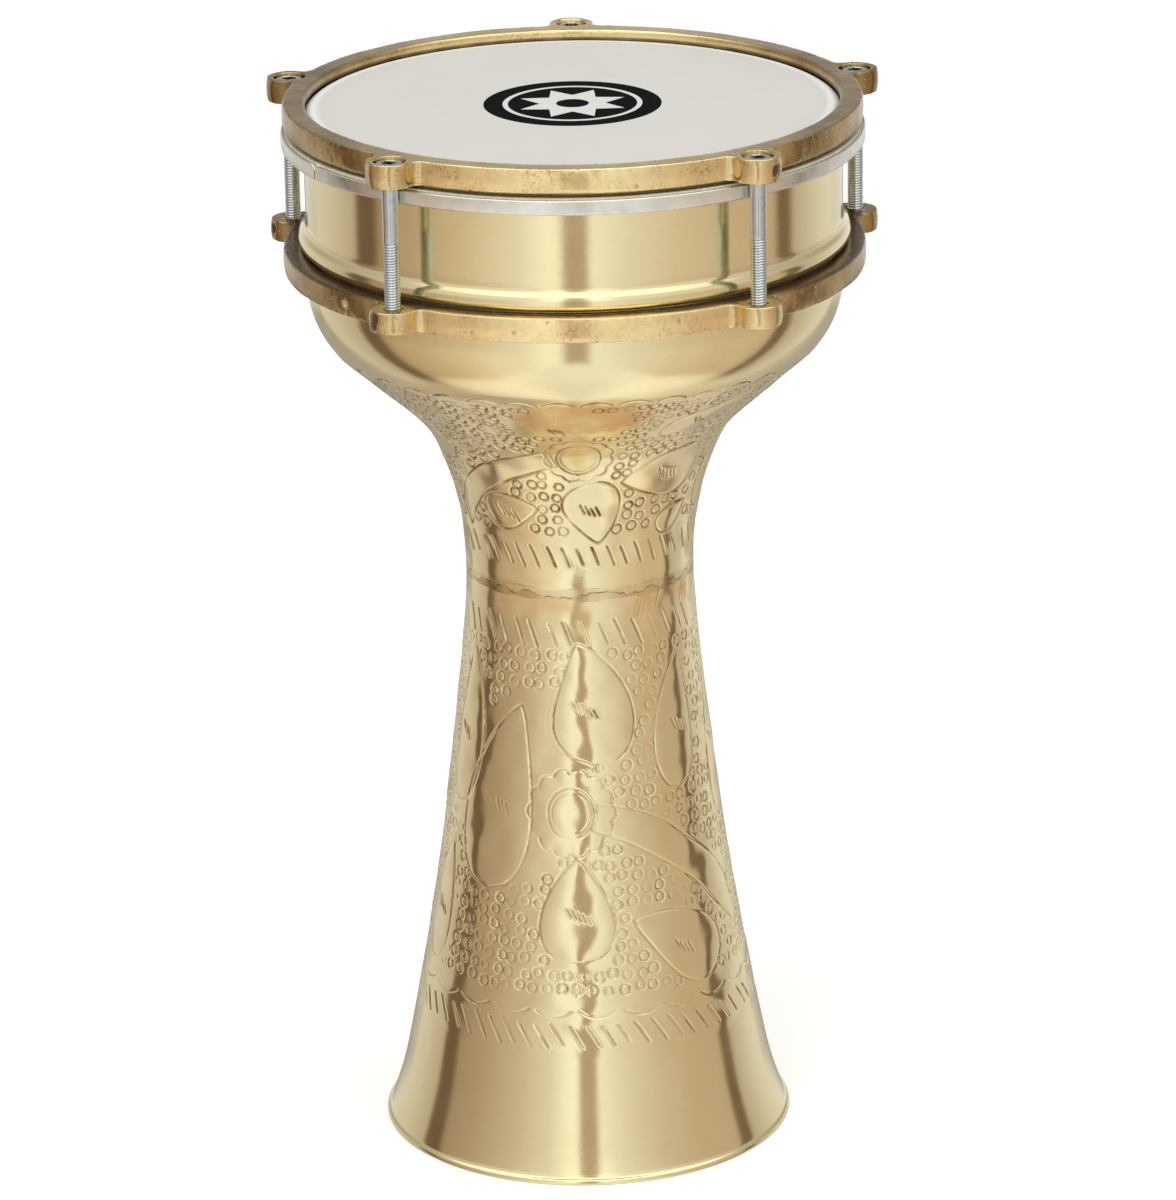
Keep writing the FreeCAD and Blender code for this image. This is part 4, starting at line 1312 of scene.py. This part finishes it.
def make_world():
    """Even pale light, but polished metal sees panels, bright in front, with dark gaps between them."""
    world = bpy.data.worlds.new("studio")
    world.use_nodes = True
    nodes = Nodes(world.node_tree, "Generated")
    split = nodes.tree.nodes.new("ShaderNodeSeparateXYZ")
    nodes.put(split.inputs[0], nodes.place)
    azimuth = nodes.math("ARCTAN2", split.outputs["X"], nodes.times(split.outputs["Y"], -1.0))
    azimuth = nodes.times(azimuth, math.degrees(1))
    off_front = nodes.math("ABSOLUTE", azimuth)
    level = nodes.times(nodes.math("ARCSINE", split.outputs["Z"]), math.degrees(1))
    behind = nodes.span(off_front, 115, 145)
    beside = nodes.span(off_front, 2, 46)
    lobes = nodes.math("SUBTRACT", nodes.times(beside, 24.0), nodes.times(behind, 37.0))
    below = nodes.span(nodes.math("ADD", level, lobes), -27, -33)
    above = nodes.span(nodes.math("ADD", level, nodes.times(behind, 12.0)), 13, 26)
    steep = nodes.span(nodes.math("SUBTRACT", level, nodes.times(behind, 12.0)), -52, -62)
    overhead = nodes.span(level, 44, 58)
    around = nodes.span(azimuth, -180, 180)
    panels = []
    for stops in (STUDIO_LEVEL, STUDIO_BELOW, STUDIO_STEEP, STUDIO_ABOVE):
        colours = [((d + 180) / 360, (b, b * (1 - 0.22 * w), b * (1 - 0.36 * w))) for d, b, w in stops]
        panels.append(nodes.ramp(around, colours))
    seen = nodes.mix(steep, nodes.mix(below, panels[0], panels[1]), panels[2])
    seen = nodes.mix(above, seen, panels[3])
    seen = nodes.mix(overhead, seen, (1.6, 1.58, 1.5))
    rays = nodes.tree.nodes.new("ShaderNodeLightPath")
    light = nodes.mix(rays.outputs["Is Glossy Ray"], (0.82, 0.82, 0.816), seen)
    to_side = nodes.math("SUBTRACT", nodes.span(off_front, 12, 40), nodes.span(off_front, 84, 98))
    low = nodes.times(nodes.times(nodes.span(level, -14, -20), to_side), rays.outputs["Is Glossy Ray"])
    extra = nodes.times(low, nodes.span(azimuth, -20, 20, 0.3, 0.16))
    background = nodes.tree.nodes["Background"]
    nodes.put(background.inputs["Color"], light)
    nodes.put(background.inputs["Strength"], nodes.math("ADD", 1.0, extra))
    bpy.context.scene.world = world


def make_light(name, place, target, size, watts):
    """A round soft light that shows in no reflection."""
    light = bpy.data.lights.new(name, "AREA")
    light.shape, light.size, light.energy = "DISK", size, watts
    lamp = placed(name, light)
    lamp.location = place
    lamp.rotation_euler = (Vector(target) - Vector(place)).to_track_quat("-Z", "Y").to_euler()
    lamp.visible_glossy = False


def make_camera():
    """The camera stands in front of the drum, looks down on it and leans a little to the left."""
    pitch, yaw, roll = math.radians(19.11), 0.0013, -0.0157
    ahead = Vector((math.sin(yaw) * math.cos(pitch), math.cos(yaw) * math.cos(pitch), -math.sin(pitch)))
    right = ahead.cross(Vector((0, 0, 1))).normalized()
    up = right.cross(ahead)
    leaning_right = right * math.cos(roll) + up * math.sin(roll)
    leaning_up = up * math.cos(roll) - right * math.sin(roll)
    camera = bpy.data.cameras.new("camera")
    camera.lens, camera.sensor_width = 182.94, 36.0
    camera.clip_start, camera.clip_end = 0.05, 200.0
    eye = placed("camera", camera)
    turn = Matrix((leaning_right, leaning_up, -ahead)).transposed().to_4x4()
    eye.matrix_world = Matrix.Translation((0, -2.159, 0.953)) @ turn
    bpy.context.scene.camera = eye


make_floor()
make_world()
make_light("key", (-1.1, -1.6, 2.4), (0, 0, 0.3), 1.6, 26)
make_light("fill", (1.6, -0.9, 1.9), (0, 0, 0.3), 1.6, 14)
make_camera()
bpy.context.scene.view_settings.view_transform = "Standard"
